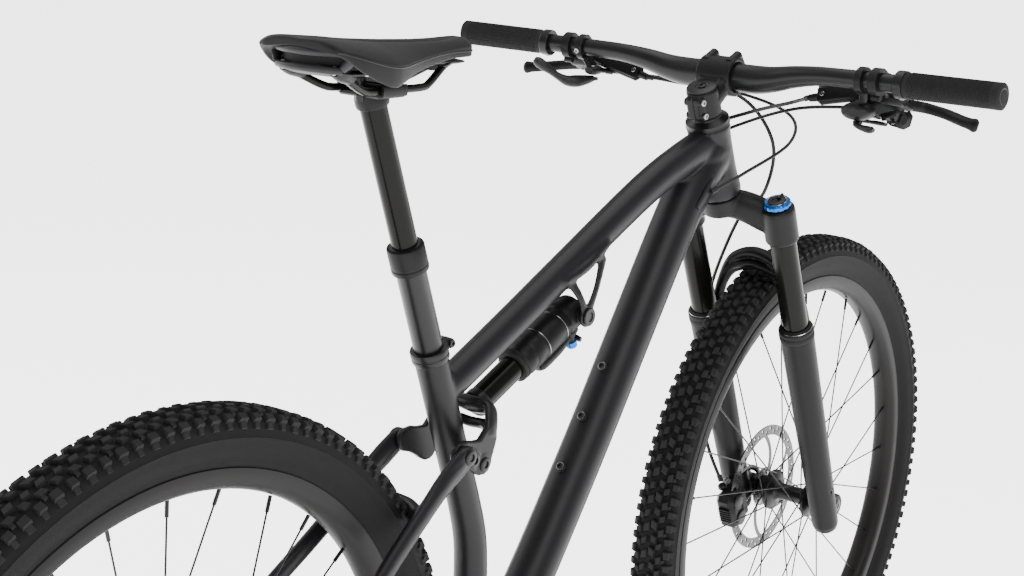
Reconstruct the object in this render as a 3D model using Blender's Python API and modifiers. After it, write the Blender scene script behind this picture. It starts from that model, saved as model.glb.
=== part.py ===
# Full-suspension mountain bike, built from its separate real pieces.
# Metres, +X forward, +Y to the rider's left, +Z up. While it is built, the ground is z = 0 and x = 0
# is midway between the axles. At the end everything moves so that the origin is the place on the
# seat post where a work stand holds the bike.
import math

import bmesh
import bpy
from mathutils import Matrix, Vector

# ---------------------------------------------------------------- driving dimensions
GAP = 0.0003                     # space left between pieces that touch
AXLE_Z = 0.371                   # tyre radius, so the axles are this high
AXLE_REAR_X = -0.5825
AXLE_FRONT_X = 0.5825
BB = Vector((-0.140, 0.0, 0.330))            # crank axis
MAIN_PIVOT = Vector((-0.138, 0.0, 0.380))    # rear triangle turns here
STAY_PIVOT = Vector((-0.2205, 0.0, 0.626))   # seatstay meets the shock yoke
SHOCK_PIVOT = Vector((0.012, 0.0, 0.730))    # shock meets the frame bracket
HEAD_ANGLE = math.radians(66.0)
FORK_OFFSET = 0.044
LEG_P = 0.020                    # fork legs' distance in front of the steering axis
LEG_Y = 0.069
SEAT_POINT = Vector((-0.2288, 0.0, 0.725))
SEAT_UP = Vector((-0.3515, 0.0, 0.9362)).normalized()
STAND_POINT = SEAT_POINT + SEAT_UP * 0.060   # work stand's clamp, the part's origin
WHEEL_STEPS = 32
SPOKES = 28

STEER_UP = Vector((-math.cos(HEAD_ANGLE), 0.0, math.sin(HEAD_ANGLE)))
STEER_FWD = Vector((math.sin(HEAD_ANGLE), 0.0, math.cos(HEAD_ANGLE)))
FOOT = Vector((AXLE_FRONT_X, 0.0, AXLE_Z)) - STEER_FWD * FORK_OFFSET
BAR = FOOT + STEER_UP * 0.665 + STEER_FWD * 0.045


def steer(s, p=0.0, y=0.0):
    """Point s along the steering axis, p in front of it, y to the left."""
    return FOOT + STEER_UP * s + STEER_FWD * p + Vector((0.0, y, 0.0))


def seat(t, y=0.0):
    """Point t along the seat post's axis."""
    return SEAT_POINT + SEAT_UP * t + Vector((0.0, y, 0.0))


# ---------------------------------------------------------------- scene and materials
for old in list(bpy.data.objects):
    bpy.data.objects.remove(old, do_unlink=True)

PARTS = bpy.data.collections.new("mountain_bike")
CUTTERS = bpy.data.collections.new("cutters")
bpy.context.scene.collection.children.link(PARTS)
bpy.context.scene.collection.children.link(CUTTERS)

ALLOY_PAINT = ((0.050, 0.048, 0.054), 0.48, 0.25)
BLACK_ALLOY = ((0.022, 0.022, 0.024), 0.38, 0.70)
GLOSS_BLACK = ((0.018, 0.018, 0.015), 0.16, 0.60)
RUBBER = ((0.026, 0.026, 0.027), 0.85, 0.0)
PLASTIC = ((0.024, 0.024, 0.026), 0.50, 0.0)
STEEL = ((0.62, 0.62, 0.61), 0.30, 1.0)
DARK_STEEL = ((0.16, 0.16, 0.16), 0.38, 0.95)
BLUE = ((0.02, 0.20, 0.60), 0.30, 0.70)


def paint(obj, look):
    """Give the object its own Principled material."""
    colour, roughness, metallic = look
    mat = bpy.data.materials.new(obj.name)
    mat.use_nodes = True
    shader = mat.node_tree.nodes["Principled BSDF"]
    shader.inputs["Base Color"].default_value = (*colour, 1.0)
    shader.inputs["Roughness"].default_value = roughness
    shader.inputs["Metallic"].default_value = metallic
    obj.data.materials.clear()
    obj.data.materials.append(mat)
    return obj


def add(name, data, look=None):
    """Link new data as a kept piece (with a look) or as a cutter (without)."""
    obj = bpy.data.objects.new(name, data)
    if look is None:
        CUTTERS.objects.link(obj)
        obj.hide_render = True
        obj.display_type = "WIRE"
    else:
        PARTS.objects.link(obj)
        paint(obj, look)
    return obj


def frame_matrix(origin, z_axis, x_hint=Vector((1.0, 0.0, 0.0))):
    """Matrix whose Z runs along z_axis and whose X is near x_hint."""
    z = Vector(z_axis).normalized()
    if abs(z.dot(x_hint)) > 0.95:
        x_hint = Vector((0.0, 0.0, 1.0))
    x = (x_hint - z * z.dot(x_hint)).normalized()
    y = z.cross(x)
    turn = Matrix((x, y, z)).transposed().to_4x4()
    return Matrix.Translation(origin) @ turn


# ---------------------------------------------------------------- mesh builders
def mesh_of(name, bm):
    bmesh.ops.recalc_face_normals(bm, faces=bm.faces)
    mesh = bpy.data.meshes.new(name)
    bm.to_mesh(mesh)
    bm.free()
    return mesh


def rod_bm(start, end, r0, r1=None, sides=16):
    """Cylinder or cone from start to end, as a bmesh."""
    start = Vector(start)
    end = Vector(end)
    bm = bmesh.new()
    bmesh.ops.create_cone(bm, cap_ends=True, segments=sides, radius1=r0, radius2=r0 if r1 is None else r1,
                          depth=(end - start).length)
    bm.transform(frame_matrix((start + end) / 2, end - start))
    return bm


def rod(name, start, end, r0, look=None, r1=None, sides=16):
    return add(name, mesh_of(name, rod_bm(start, end, r0, r1, sides)), look)


def block(name, centre, size, look=None, tilt=None):
    """Box of the given size; tilt is a rotation matrix about its centre."""
    bm = bmesh.new()
    bmesh.ops.create_cube(bm, size=1.0)
    bmesh.ops.scale(bm, vec=size, verts=bm.verts)
    if tilt is not None:
        bm.transform(tilt.to_4x4())
    bmesh.ops.translate(bm, vec=centre, verts=bm.verts)
    return add(name, mesh_of(name, bm), look)


def turned(name, profile, origin, axis, look=None, steps=24, closed=False):
    """Turn (radius, height) points about the axis. A closed outline makes a ring."""
    mesh = bpy.data.meshes.new(name)
    area = 0.0
    for (r0, h0), (r1, h1) in zip(profile, profile[1:] + profile[:1]):
        area += r0 * h1 - r1 * h0
    if area > 0.0:
        profile = profile[::-1]
    verts = [(r, 0.0, h) for r, h in profile]
    edges = [(i, i + 1) for i in range(len(verts) - 1)]
    if closed:
        edges.append((len(verts) - 1, 0))
    mesh.from_pydata(verts, edges, [])
    obj = add(name, mesh, look)
    screw = obj.modifiers.new("screw", "SCREW")
    screw.axis = "Z"
    screw.steps = steps
    screw.render_steps = steps
    screw.use_merge_vertices = True
    screw.merge_threshold = 0.00005
    obj.matrix_world = frame_matrix(origin, axis)
    return obj


def plate(name, outline, y0, y1, look=None):
    """Flat outline of (x, z) points, filled and given thickness from y0 to y1."""
    bm = bmesh.new()
    low = [bm.verts.new((x, y0, z)) for x, z in outline]
    high = [bm.verts.new((x, y1, z)) for x, z in outline]
    bm.faces.new(low)
    bm.faces.new(high)
    count = len(outline)
    for i in range(count):
        j = (i + 1) % count
        bm.faces.new((low[i], low[j], high[j], high[i]))
    return add(name, mesh_of(name, bm), look)


def pipe(name, points, radii, look=None, smooth=3, bevel=2, cyclic=False):
    """Curve through the points with a round section, turned into a closed mesh."""
    curve = bpy.data.curves.new(name, "CURVE")
    curve.dimensions = "3D"
    curve.bevel_depth = 1.0
    curve.bevel_resolution = bevel
    curve.use_fill_caps = True
    curve.resolution_u = smooth
    curve.render_resolution_u = 0
    if smooth > 1:
        spline = curve.splines.new("BEZIER")
        spline.bezier_points.add(len(points) - 1)
        for i, point in enumerate(spline.bezier_points):
            point.co = points[i]
            point.handle_left_type = "AUTO"
            point.handle_right_type = "AUTO"
            point.radius = radii[i] if isinstance(radii, (list, tuple)) else radii
    else:
        spline = curve.splines.new("POLY")
        spline.points.add(len(points) - 1)
        for i, point in enumerate(spline.points):
            point.co = (*points[i], 1.0)
            point.radius = radii[i] if isinstance(radii, (list, tuple)) else radii
    spline.use_cyclic_u = cyclic
    holder = bpy.data.objects.new(name + "_curve", curve)
    PARTS.objects.link(holder)
    bpy.context.view_layer.update()
    ready = holder.evaluated_get(bpy.context.evaluated_depsgraph_get())
    mesh = bpy.data.meshes.new_from_object(ready)
    bpy.data.objects.remove(holder, do_unlink=True)
    bm = bmesh.new()
    bm.from_mesh(mesh)
    bmesh.ops.remove_doubles(bm, verts=bm.verts, dist=0.00002)
    return add(name, mesh_of(name, bm), look)


def loft(name, sections, look=None):
    """Skin over closed sections that all have the same number of points, with flat ends."""
    bm = bmesh.new()
    rings = [[bm.verts.new(p) for p in section] for section in sections]
    count = len(rings[0])
    for a, b in zip(rings[:-1], rings[1:]):
        for i in range(count):
            j = (i + 1) % count
            bm.faces.new((a[i], a[j], b[j], b[i]))
    bm.faces.new(rings[0])
    bm.faces.new(rings[-1])
    return add(name, mesh_of(name, bm), look)


def combine(obj, tool, operation):
    mod = obj.modifiers.new(operation.lower() + "_" + tool.name, "BOOLEAN")
    mod.operation = operation
    mod.solver = "EXACT"
    mod.object = tool
    return obj


def join(obj, *tools):
    for tool in tools:
        combine(obj, tool, "UNION")
    return obj


def cut(obj, *tools):
    for tool in tools:
        combine(obj, tool, "DIFFERENCE")
    return obj


def bevel(obj, width, segments=1):
    mod = obj.modifiers.new("bevel", "BEVEL")
    mod.width = width
    mod.segments = segments
    mod.limit_method = "ANGLE"
    mod.angle_limit = math.radians(35.0)
    return obj


# ---------------------------------------------------------------- wheels
def tyre(name, centre):
    half = [(0.3158, 0.0165), (0.3350, 0.0282), (0.3590, 0.0285), (0.3710, 0.0085)]
    inner = [(0.3640, 0.0090), (0.3450, 0.0240), (0.3158, 0.0110)]
    outline = half + [(r, -h) for r, h in reversed(half)] + [(r, -h) for r, h in reversed(inner)] + inner
    return turned(name, outline, centre, (0, 1, 0), RUBBER, WHEEL_STEPS, closed=True)


def rim(name, centre):
    outer = [(0.3152, 0.0172), (0.3010, 0.0170), (0.2925, 0.0050)]
    well = [(0.3152, 0.0148), (0.3060, 0.0080)]
    outline = outer + [(r, -h) for r, h in reversed(outer)] + [(r, -h) for r, h in well]
    outline += [(r, h) for r, h in reversed(well)]
    return turned(name, outline, centre, (0, 1, 0), BLACK_ALLOY, WHEEL_STEPS, closed=True)


def hub(name, centre, profile, flanges, flange_r):
    """Hub shell with its laced spokes. flanges are the two flange planes' y."""
    shell = turned(name, profile, centre, (0, 1, 0), BLACK_ALLOY, 16)
    tools = bmesh.new()
    for k in range(SPOKES):
        side = k % 2
        pair = k // 2
        lean = 1 if pair % 2 else -1
        angle = 2 * math.pi * k / SPOKES
        start_angle = angle + lean * math.radians(72.0)
        y_flange = flanges[side] + lean * 0.0024
        start_r = flange_r - 0.0035
        end_r = 0.2898
        start = Vector((start_r * math.cos(start_angle), y_flange, start_r * math.sin(start_angle)))
        end = Vector((end_r * math.cos(angle), flanges[side] * 0.06, end_r * math.sin(angle)))
        part = rod_bm(centre + start, centre + end, 0.0010, sides=4)
        piece = bpy.data.meshes.new("spoke")
        part.to_mesh(piece)
        part.free()
        tools.from_mesh(piece)
        bpy.data.meshes.remove(piece)
    spokes = add(name + "_spokes", mesh_of(name + "_spokes", tools))
    return join(shell, spokes)


def rotor(name, centre, y, radius, bore):
    outline = [(radius, 0.0009), (radius, -0.0009), (radius - 0.0145, -0.0009), (radius - 0.0145, 0.0009)]
    ring = turned(name, outline, centre + Vector((0, y, 0)), (0, 1, 0), STEEL, 24, closed=True)
    core = [(bore + 0.011, 0.0009), (bore + 0.011, -0.0009), (bore, -0.0009), (bore, 0.0009)]
    middle = turned(name + "_core", core, centre + Vector((0, y, 0)), (0, 1, 0), None, 16, closed=True)
    join(ring, middle)
    for k in range(6):
        a0 = math.pi * k / 3
        a1 = a0 + 0.45
        p0 = centre + Vector(((bore + 0.008) * math.cos(a0), y, (bore + 0.008) * math.sin(a0)))
        p1 = centre + Vector(((radius - 0.011) * math.cos(a1), y, (radius - 0.011) * math.sin(a1)))
        along = (p1 - p0).normalized()
        side = Vector((-along.z, 0.0, along.x)) * 0.0035
        corners = [p0 + side, p0 - side, p1 - side, p1 + side]
        arm = plate(f"{name}_arm_{k}", [(c.x, c.z) for c in corners], y - 0.0007, y + 0.0007)
        join(ring, arm)
    return ring


FRONT = Vector((AXLE_FRONT_X, 0.0, AXLE_Z))
REAR = Vector((AXLE_REAR_X, 0.0, AXLE_Z))


def build_wheels():
    tyre("front_tyre", FRONT)
    rim("front_rim", FRONT)
    front = [(0.0, 0.0546), (0.0095, 0.0546), (0.0095, 0.0480), (0.0165, 0.0475), (0.0165, 0.0290), (0.0290, 0.0265),
             (0.0290, 0.0215), (0.0130, 0.0180), (0.0125, -0.0270), (0.0265, -0.0310), (0.0265, -0.0365),
             (0.0150, -0.0400), (0.0150, -0.0475), (0.0095, -0.0480), (0.0095, -0.0546), (0.0, -0.0546)]
    hub("front_hub", FRONT, front, (0.0240, -0.0338), 0.0275)
    rotor("front_rotor", FRONT, 0.0420, 0.0900, 0.0168)

    tyre("rear_tyre", REAR)
    rim("rear_rim", REAR)
    rear = [(0.0, 0.0736), (0.0095, 0.0736), (0.0095, 0.0660), (0.0165, 0.0655), (0.0165, 0.0430), (0.0300, 0.0380),
            (0.0300, 0.0325), (0.0150, 0.0290), (0.0150, -0.0150), (0.0290, -0.0195), (0.0290, -0.0250),
            (0.0170, -0.0275), (0.0170, -0.0690), (0.0095, -0.0695), (0.0095, -0.0736), (0.0, -0.0736)]
    hub("rear_hub", REAR, rear, (0.0352, -0.0222), 0.0280)
    rotor("rear_rotor", REAR, 0.0590, 0.0800, 0.0168)

    # Cogs as one stepped ring, largest cog inboard.
    outline = [(0.0173 + GAP, -0.0300)]
    for r, y in ((0.1020, -0.0300), (0.0860, -0.0334), (0.0738, -0.0368), (0.0576, -0.0436), (0.0434, -0.0504),
                 (0.0333, -0.0572), (0.0252, -0.0640)):
        outline += [(r, y), (r, y - 0.0020)]
    outline.append((0.0173 + GAP, -0.0660))
    turned("cassette", outline, REAR, (0, 1, 0), DARK_STEEL, 20, closed=True)


# ---------------------------------------------------------------- frame
DOWN_PATH = [Vector((-0.126, 0, 0.337)), Vector((-0.036, 0, 0.430)), Vector((0.140, 0, 0.680)),
             Vector((0.226, 0, 0.806)), Vector((0.303, 0, 0.882))]
TOP_PATH = [Vector((-0.206, 0, 0.684)), Vector((0.0, 0, 0.7817)), Vector((0.150, 0, 0.852)),
            Vector((0.303, 0, 0.902))]
SEAT_PATH = [Vector((-0.1430, 0, 0.384)), Vector((-0.146, 0, 0.440)), Vector((-0.150, 0, 0.505)),
             Vector((-0.1635, 0, 0.552)), Vector((-0.1850, 0, 0.6085)), seat(0.0105)]


def build_frame():
    head = [(0.0275, 0.5235), (0.0280, 0.5330), (0.0258, 0.5500), (0.0258, 0.6050), (0.0272, 0.6150), (0.0272, 0.6225),
            (0.0215, 0.6225), (0.0215, 0.5235)]
    turned("head_tube", head, FOOT, STEER_UP, ALLOY_PAINT, 24, closed=True)
    head_cut = rod("head_cut", steer(0.50), steer(0.65), 0.0284, sides=24)

    seat_tube = pipe("seat_tube", SEAT_PATH, [0.019, 0.019, 0.0185, 0.0178, 0.0175, 0.0175], ALLOY_PAINT, 2, 3)
    collar = rod("seat_tube_clamp", seat(-0.014), seat(0.0100), 0.0205, sides=20)
    lug = rod("seat_tube_clamp_lug", seat(-0.010) + Vector((0.026, 0.0, 0.0096)),
              seat(0.006) + Vector((0.026, 0.0, 0.0096)), 0.0065, sides=10)
    ear = block("seat_tube_clamp_ear", seat(-0.002) + Vector((0.018, 0.0, 0.0066)), (0.018, 0.010, 0.013))
    bore = rod("seat_tube_bore", seat(-0.090), seat(0.020), 0.0158, sides=20)
    join(seat_tube, collar, ear, lug)
    cut(seat_tube, bore)
    seat_cut = pipe("seat_tube_cut", SEAT_PATH, [0.0194, 0.0194, 0.0189, 0.0181, 0.0178, 0.0178], None, 2, 3)
    collar_cut = rod("seat_clamp_cut", seat(-0.020), seat(0.0130), 0.0208, sides=24)

    top_radii = [0.0180, 0.0185, 0.0195, 0.0215]
    top_tube = pipe("top_tube", TOP_PATH, top_radii, ALLOY_PAINT, 2, 4)
    top_cut = pipe("top_tube_cut", TOP_PATH, [r + GAP for r in top_radii], None, 2, 4)
    for side in (-1, 1):
        y0 = side * 0.0225
        y1 = side * 0.0275
        outline = [(0.002, 0.724), (0.020, 0.720), (0.034, 0.742), (0.054, 0.796), (0.034, 0.790), (0.020, 0.748),
                   (0.008, 0.760), (0.006, 0.790), (-0.014, 0.782), (-0.006, 0.750)]
        ear = plate(f"shock_bracket_{side}", outline, min(y0, y1), max(y0, y1))
        web = block(f"shock_bracket_web_{side}", (0.016, side * 0.0160, 0.786), (0.052, 0.020, 0.012),
                    tilt=Matrix.Rotation(math.radians(-25.0), 3, "Y"))
        bolt = rod(f"shock_bolt_{side}", SHOCK_PIVOT + Vector((0, side * 0.0235, 0)),
                   SHOCK_PIVOT + Vector((0, side * 0.0310, 0)), 0.0075, sides=12)
        join(top_tube, web, ear, bolt)
    cut(top_tube, head_cut, seat_cut, collar_cut)

    down_tube = pipe("down_tube", DOWN_PATH, [0.0270, 0.0270, 0.0270, 0.0270, 0.0262], ALLOY_PAINT, 2, 4)
    along = (DOWN_PATH[2] - DOWN_PATH[1]).normalized()
    normal = Vector((-along.z, 0.0, along.x))
    for k in range(3):
        foot = DOWN_PATH[1] + along * (0.125 + 0.064 * k) + normal * 0.022
        join(down_tube, rod(f"bottle_boss_{k}", foot, foot + normal * 0.0065, 0.0060, sides=12))
    bb_cut = rod("bb_cut", BB + Vector((0, -0.045, 0)), BB + Vector((0, 0.045, 0)), 0.0240 + GAP, sides=24)
    pivot_cut = rod("pivot_cut", MAIN_PIVOT + Vector((0, -0.045, 0)), MAIN_PIVOT + Vector((0, 0.045, 0)),
                    0.0150 + GAP, sides=24)
    web_cut = block("bb_web_cut", (BB + MAIN_PIVOT) / 2, (0.0206, 0.060, 0.060))
    cut(down_tube, head_cut, top_cut, bb_cut, seat_cut, web_cut, pivot_cut)
    cut(seat_tube, pivot_cut)

    # Crank bearing shell with the main pivot's lug above it, joined by a web.
    shell = rod("bb_shell", BB + Vector((0, -0.0365, 0)), BB + Vector((0, 0.0365, 0)), 0.0240, ALLOY_PAINT, sides=24)
    lug = rod("bb_lug", MAIN_PIVOT + Vector((0, -0.0362, 0)), MAIN_PIVOT + Vector((0, 0.0362, 0)), 0.0150, sides=24)
    web = block("bb_web", (BB + MAIN_PIVOT) / 2, (0.0200, 0.0594, 0.040))
    hole = rod("bb_hole", BB + Vector((0, -0.060, 0)), BB + Vector((0, 0.060, 0)), 0.0140, sides=20)
    join(shell, lug, web)
    cut(shell, hole)

    outer = [(0.0, -0.0850), (0.01545, -0.0850), (0.01545, 0.1010), (0.0190, 0.1020), (0.0193, 0.1290),
             (0.0175, 0.1300), (0.0137, 0.1300), (0.0137, -0.0800), (0.0, -0.0800)]
    turned("post_outer", list(reversed(outer)), SEAT_POINT, SEAT_UP, BLACK_ALLOY, 24)


# ---------------------------------------------------------------- saddle and dropper post
def rail_path(side):
    return [Vector((-0.226, side * 0.007, 1.0240)), Vector((-0.238, side * 0.009, 1.0190)),
            Vector((-0.268, side * 0.018, 1.0065)), Vector((-0.284, side * 0.022, 1.0040)),
            Vector((-0.356, side * 0.022, 1.0040)), Vector((-0.372, side * 0.024, 1.0070)),
            Vector((-0.396, side * 0.029, 1.0180)), Vector((-0.410, side * 0.031, 1.0255))]


def saddle_section(x, half, top, bottom, crown, count=12):
    """Closed cross-section of the saddle at x: flat below, crowned above."""
    points = []
    for i in range(count):
        a = math.pi * i / (count - 1)
        y = half * math.cos(a)
        z = top - crown * (abs(y) / half) ** 2.2
        points.append((x, y, z))
    points += [(x, -half * 0.55, bottom), (x, half * 0.55, bottom)]
    return points


def build_saddle():
    cover = []
    shape = [(-0.194, 0.010, 1.042, 1.033, 0.004), (-0.200, 0.018, 1.045, 1.026, 0.008),
             (-0.230, 0.023, 1.048, 1.028, 0.012), (-0.270, 0.030, 1.049, 1.030, 0.014),
             (-0.310, 0.042, 1.049, 1.032, 0.017), (-0.345, 0.058, 1.050, 1.033, 0.020),
             (-0.380, 0.070, 1.052, 1.035, 0.022), (-0.410, 0.071, 1.054, 1.037, 0.020),
             (-0.428, 0.060, 1.055, 1.042, 0.012), (-0.434, 0.040, 1.053, 1.046, 0.005)]
    for x, half, top, bottom, crown in shape:
        edge = top - crown
        cover.append(saddle_section(x, half, top, min(bottom, edge - 0.002), crown))
    loft("saddle_cover", cover, RUBBER)

    base = []
    under = [(-0.204, 0.010, 1.0250, 1.0215), (-0.232, 0.012, 1.0270, 1.0205), (-0.270, 0.016, 1.0285, 1.0220),
             (-0.310, 0.022, 1.0285, 1.0220), (-0.345, 0.031, 1.0270, 1.0215), (-0.380, 0.038, 1.0270, 1.0200),
             (-0.410, 0.038, 1.0300, 1.0200), (-0.422, 0.030, 1.0330, 1.0250)]
    for x, half, top, bottom in under:
        base.append([(x, half, top - 0.002), (x, half * 0.5, top - 0.0005), (x, -half * 0.5, top - 0.0005),
                     (x, -half, top - 0.002), (x, -half * 0.8, bottom), (x, half * 0.8, bottom)])
    shell = loft("saddle_base", base, PLASTIC)
    for side in (-1, 1):
        join(shell, pipe(f"saddle_rail_{side}", rail_path(side), 0.0035, None, 1, 1))

    # Stanchion with the rail clamp on top. The rails lie in it with a small gap.
    inner = turned("post_inner", [(0.0, 0.2850), (0.0133, 0.2850), (0.0133, 0.0860), (0.0125, 0.0850), (0.0, 0.0850)],
                   SEAT_POINT, SEAT_UP, GLOSS_BLACK, 24)
    head = rod("post_head", seat(0.2815), seat(0.2950), 0.0165, sides=20, r1=0.0150)
    cradle = block("post_cradle", (-0.3290, 0.0, 1.0015), (0.040, 0.054, 0.0110))
    top = block("post_clamp_top", (-0.3290, 0.0, 1.0090), (0.030, 0.054, 0.0060))
    join(inner, head, cradle, top)
    for side in (-1, 1):
        channel = rod(f"rail_channel_{side}", (-0.282, side * 0.022, 1.0040), (-0.352, side * 0.022, 1.0040), 0.0039,
                      sides=12)
        cut(inner, channel)


# ---------------------------------------------------------------- stem, bar, grips
BAR_POINTS = [(0.026, 0.3129, 0.9789, 0.0174), (0.050, 0.3129, 0.9789, 0.0174), (0.075, 0.3112, 0.9820, 0.0155), (0.105, 0.3085, 0.9885, 0.0132),
              (0.140, 0.3052, 0.9932, 0.0114), (0.180, 0.3023, 0.9947, 0.0111), (0.192, 0.3012, 0.99486, 0.0111),
              (0.3745, 0.2845, 0.9973, 0.0111)]
BAR_END_DIR = Vector((0.2845 - 0.3023, 0.3745 - 0.180, 0.9973 - 0.9947)).normalized()


def bar_point(distance, side):
    """Point on the bar's straight outer part, this far in y from the middle; side is 1 for left."""
    start = Vector((0.3023, 0.180, 0.9947))
    point = start + BAR_END_DIR * ((distance - 0.180) / BAR_END_DIR.y)
    return Vector((point.x, point.y * side, point.z))


def bar_dir(side):
    return Vector((BAR_END_DIR.x, BAR_END_DIR.y * side, BAR_END_DIR.z))


def build_cockpit():
    left = [Vector((x, y, z)) for y, x, z, r in BAR_POINTS]
    right = [Vector((x, -y, z)) for y, x, z, r in reversed(BAR_POINTS)]
    radii = [r for y, x, z, r in reversed(BAR_POINTS)] + [r for y, x, z, r in BAR_POINTS]
    pipe("handlebar", right + left, radii, BLACK_ALLOY, 2, 3)

    for name, side in (("grip_left", 1), ("grip_right", -1)):
        grip = [(0.0, 0.1305), (0.0117, 0.1305), (0.0117, 0.0), (0.0165, 0.0), (0.0165, 0.0110), (0.0150, 0.0120),
                (0.0150, 0.1280), (0.0156, 0.1320), (0.0, 0.1330)]
        turned(name, grip, bar_point(0.2450, side), bar_dir(side), RUBBER, 16)

    body = turned("stem", [(0.0, 0.6750), (0.0150, 0.6750), (0.0165, 0.6735), (0.0165, 0.6720), (0.0195, 0.6715),
                           (0.0195, 0.6345), (0.0185, 0.6335), (0.0270, 0.6290), (0.0272, 0.6228), (0.0, 0.6228)],
                  FOOT, STEER_UP, BLACK_ALLOY, 16)
    tilt = Matrix((STEER_FWD, Vector((0, 1, 0)), STEER_UP)).transposed()
    arm = block("stem_arm", steer(0.6590, 0.026), (0.040, 0.034, 0.028), tilt=tilt)
    clamp = rod("stem_clamp", BAR + Vector((0, -0.0240, 0)), BAR + Vector((0, 0.0240, 0)), 0.0240, sides=20)
    face = block("stem_face", BAR + STEER_FWD * 0.012, (0.018, 0.047, 0.050), tilt=tilt)
    hole = rod("stem_hole", BAR + Vector((0, -0.060, 0)), BAR + Vector((0, 0.060, 0)), 0.0179, sides=20)
    join(body, arm, clamp, face)
    cut(body, hole)


def build_levers():
    for side, brake, lever in ((1, "brake_left", "lever_left"), (-1, "brake_right", "lever_right")):
        on_bar = bar_point(0.2180, side)
        ring = [(0.0116, -0.0060), (0.0165, -0.0060), (0.0165, 0.0060), (0.0116, 0.0060)]
        mount = turned(brake, ring, on_bar, bar_dir(side), BLACK_ALLOY, 20, closed=True)
        cylinder = rod(brake + "_cylinder", (0.3380, side * 0.1300, 0.9770), (0.3340, side * 0.2380, 0.9740), 0.0085,
                       sides=12)
        tank = block(brake + "_tank", (0.3345, side * 0.1700, 0.9850), (0.0200, 0.0560, 0.0120))
        bridge = block(brake + "_bridge", (0.3180, side * 0.2180, 0.9850), (0.0320, 0.0120, 0.0130))
        ear = block(brake + "_ear", (0.3440, side * 0.2320, 0.9705), (0.0220, 0.0170, 0.0110))
        slot = block(brake + "_slot", (0.3520, side * 0.2340, 0.9665), (0.0260, 0.0300, 0.0090))
        around = rod(brake + "_bar_room", bar_point(0.19, side), bar_point(0.24, side), 0.0116, sides=20)
        join(mount, bridge, cylinder, tank, ear)
        cut(mount, slot, around)
        blade = [Vector((0.3500, side * 0.2320, 0.9665)), Vector((0.3690, side * 0.2460, 0.9640)),
                 Vector((0.3660, side * 0.2760, 0.9600)), Vector((0.3540, side * 0.3020, 0.9560)),
                 Vector((0.3480, side * 0.3220, 0.9530))]
        pipe(lever, blade, [0.0040, 0.0040, 0.0040, 0.0038, 0.0042], BLACK_ALLOY, 3, 2)

    # Right: gear shifter under the bar with its thumb paddle and release trigger.
    shifter = block("shifter", (0.3140, -0.1900, 0.9570), (0.0400, 0.0380, 0.0180), PLASTIC)
    bevel(shifter, 0.005)
    arm = block("shifter_arm", (0.3080, -0.1980, 0.9720), (0.0160, 0.0090, 0.0240))
    ring = rod("shifter_ring", bar_point(0.1930, -1), bar_point(0.2030, -1), 0.0160, sides=20)
    room = rod("shifter_room", bar_point(0.1850, -1), bar_point(0.2080, -1), 0.0116, sides=20)
    join(shifter, arm, ring)
    cut(shifter, room)
    paddle = [Vector((0.3120, -0.1900, 0.9440)), Vector((0.2960, -0.1960, 0.9430)), Vector((0.2840, -0.2100, 0.9420)),
              Vector((0.2800, -0.2240, 0.9415))]
    pipe("shift_paddle", paddle, [0.0030, 0.0030, 0.0036, 0.0048], PLASTIC, 3, 2)
    trigger = [Vector((0.3280, -0.1820, 0.9440)), Vector((0.3380, -0.1960, 0.9430)), Vector((0.3360, -0.2140, 0.9425))]
    pipe("release_trigger", trigger, [0.0026, 0.0030, 0.0038], PLASTIC, 3, 2)

    # Left: remote for the seat post with its paddle.
    remote = block("dropper_remote", (0.3150, 0.1900, 0.9650), (0.0260, 0.0200, 0.0120), PLASTIC)
    bevel(remote, 0.003)
    arm = block("dropper_arm", (0.3100, 0.1980, 0.9750), (0.0140, 0.0090, 0.0160))
    ring = rod("dropper_ring", bar_point(0.1935, 1), bar_point(0.2025, 1), 0.0160, sides=20)
    room = rod("dropper_room", bar_point(0.1850, 1), bar_point(0.2080, 1), 0.0116, sides=20)
    join(remote, arm, ring)
    cut(remote, room)
    paddle = [Vector((0.3120, 0.1900, 0.9545)), Vector((0.2980, 0.2000, 0.9530)), Vector((0.2860, 0.2200, 0.9510)),
              Vector((0.2800, 0.2360, 0.9500))]
    pipe("dropper_paddle", paddle, [0.0034, 0.0036, 0.0044, 0.0060], PLASTIC, 3, 2)


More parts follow.
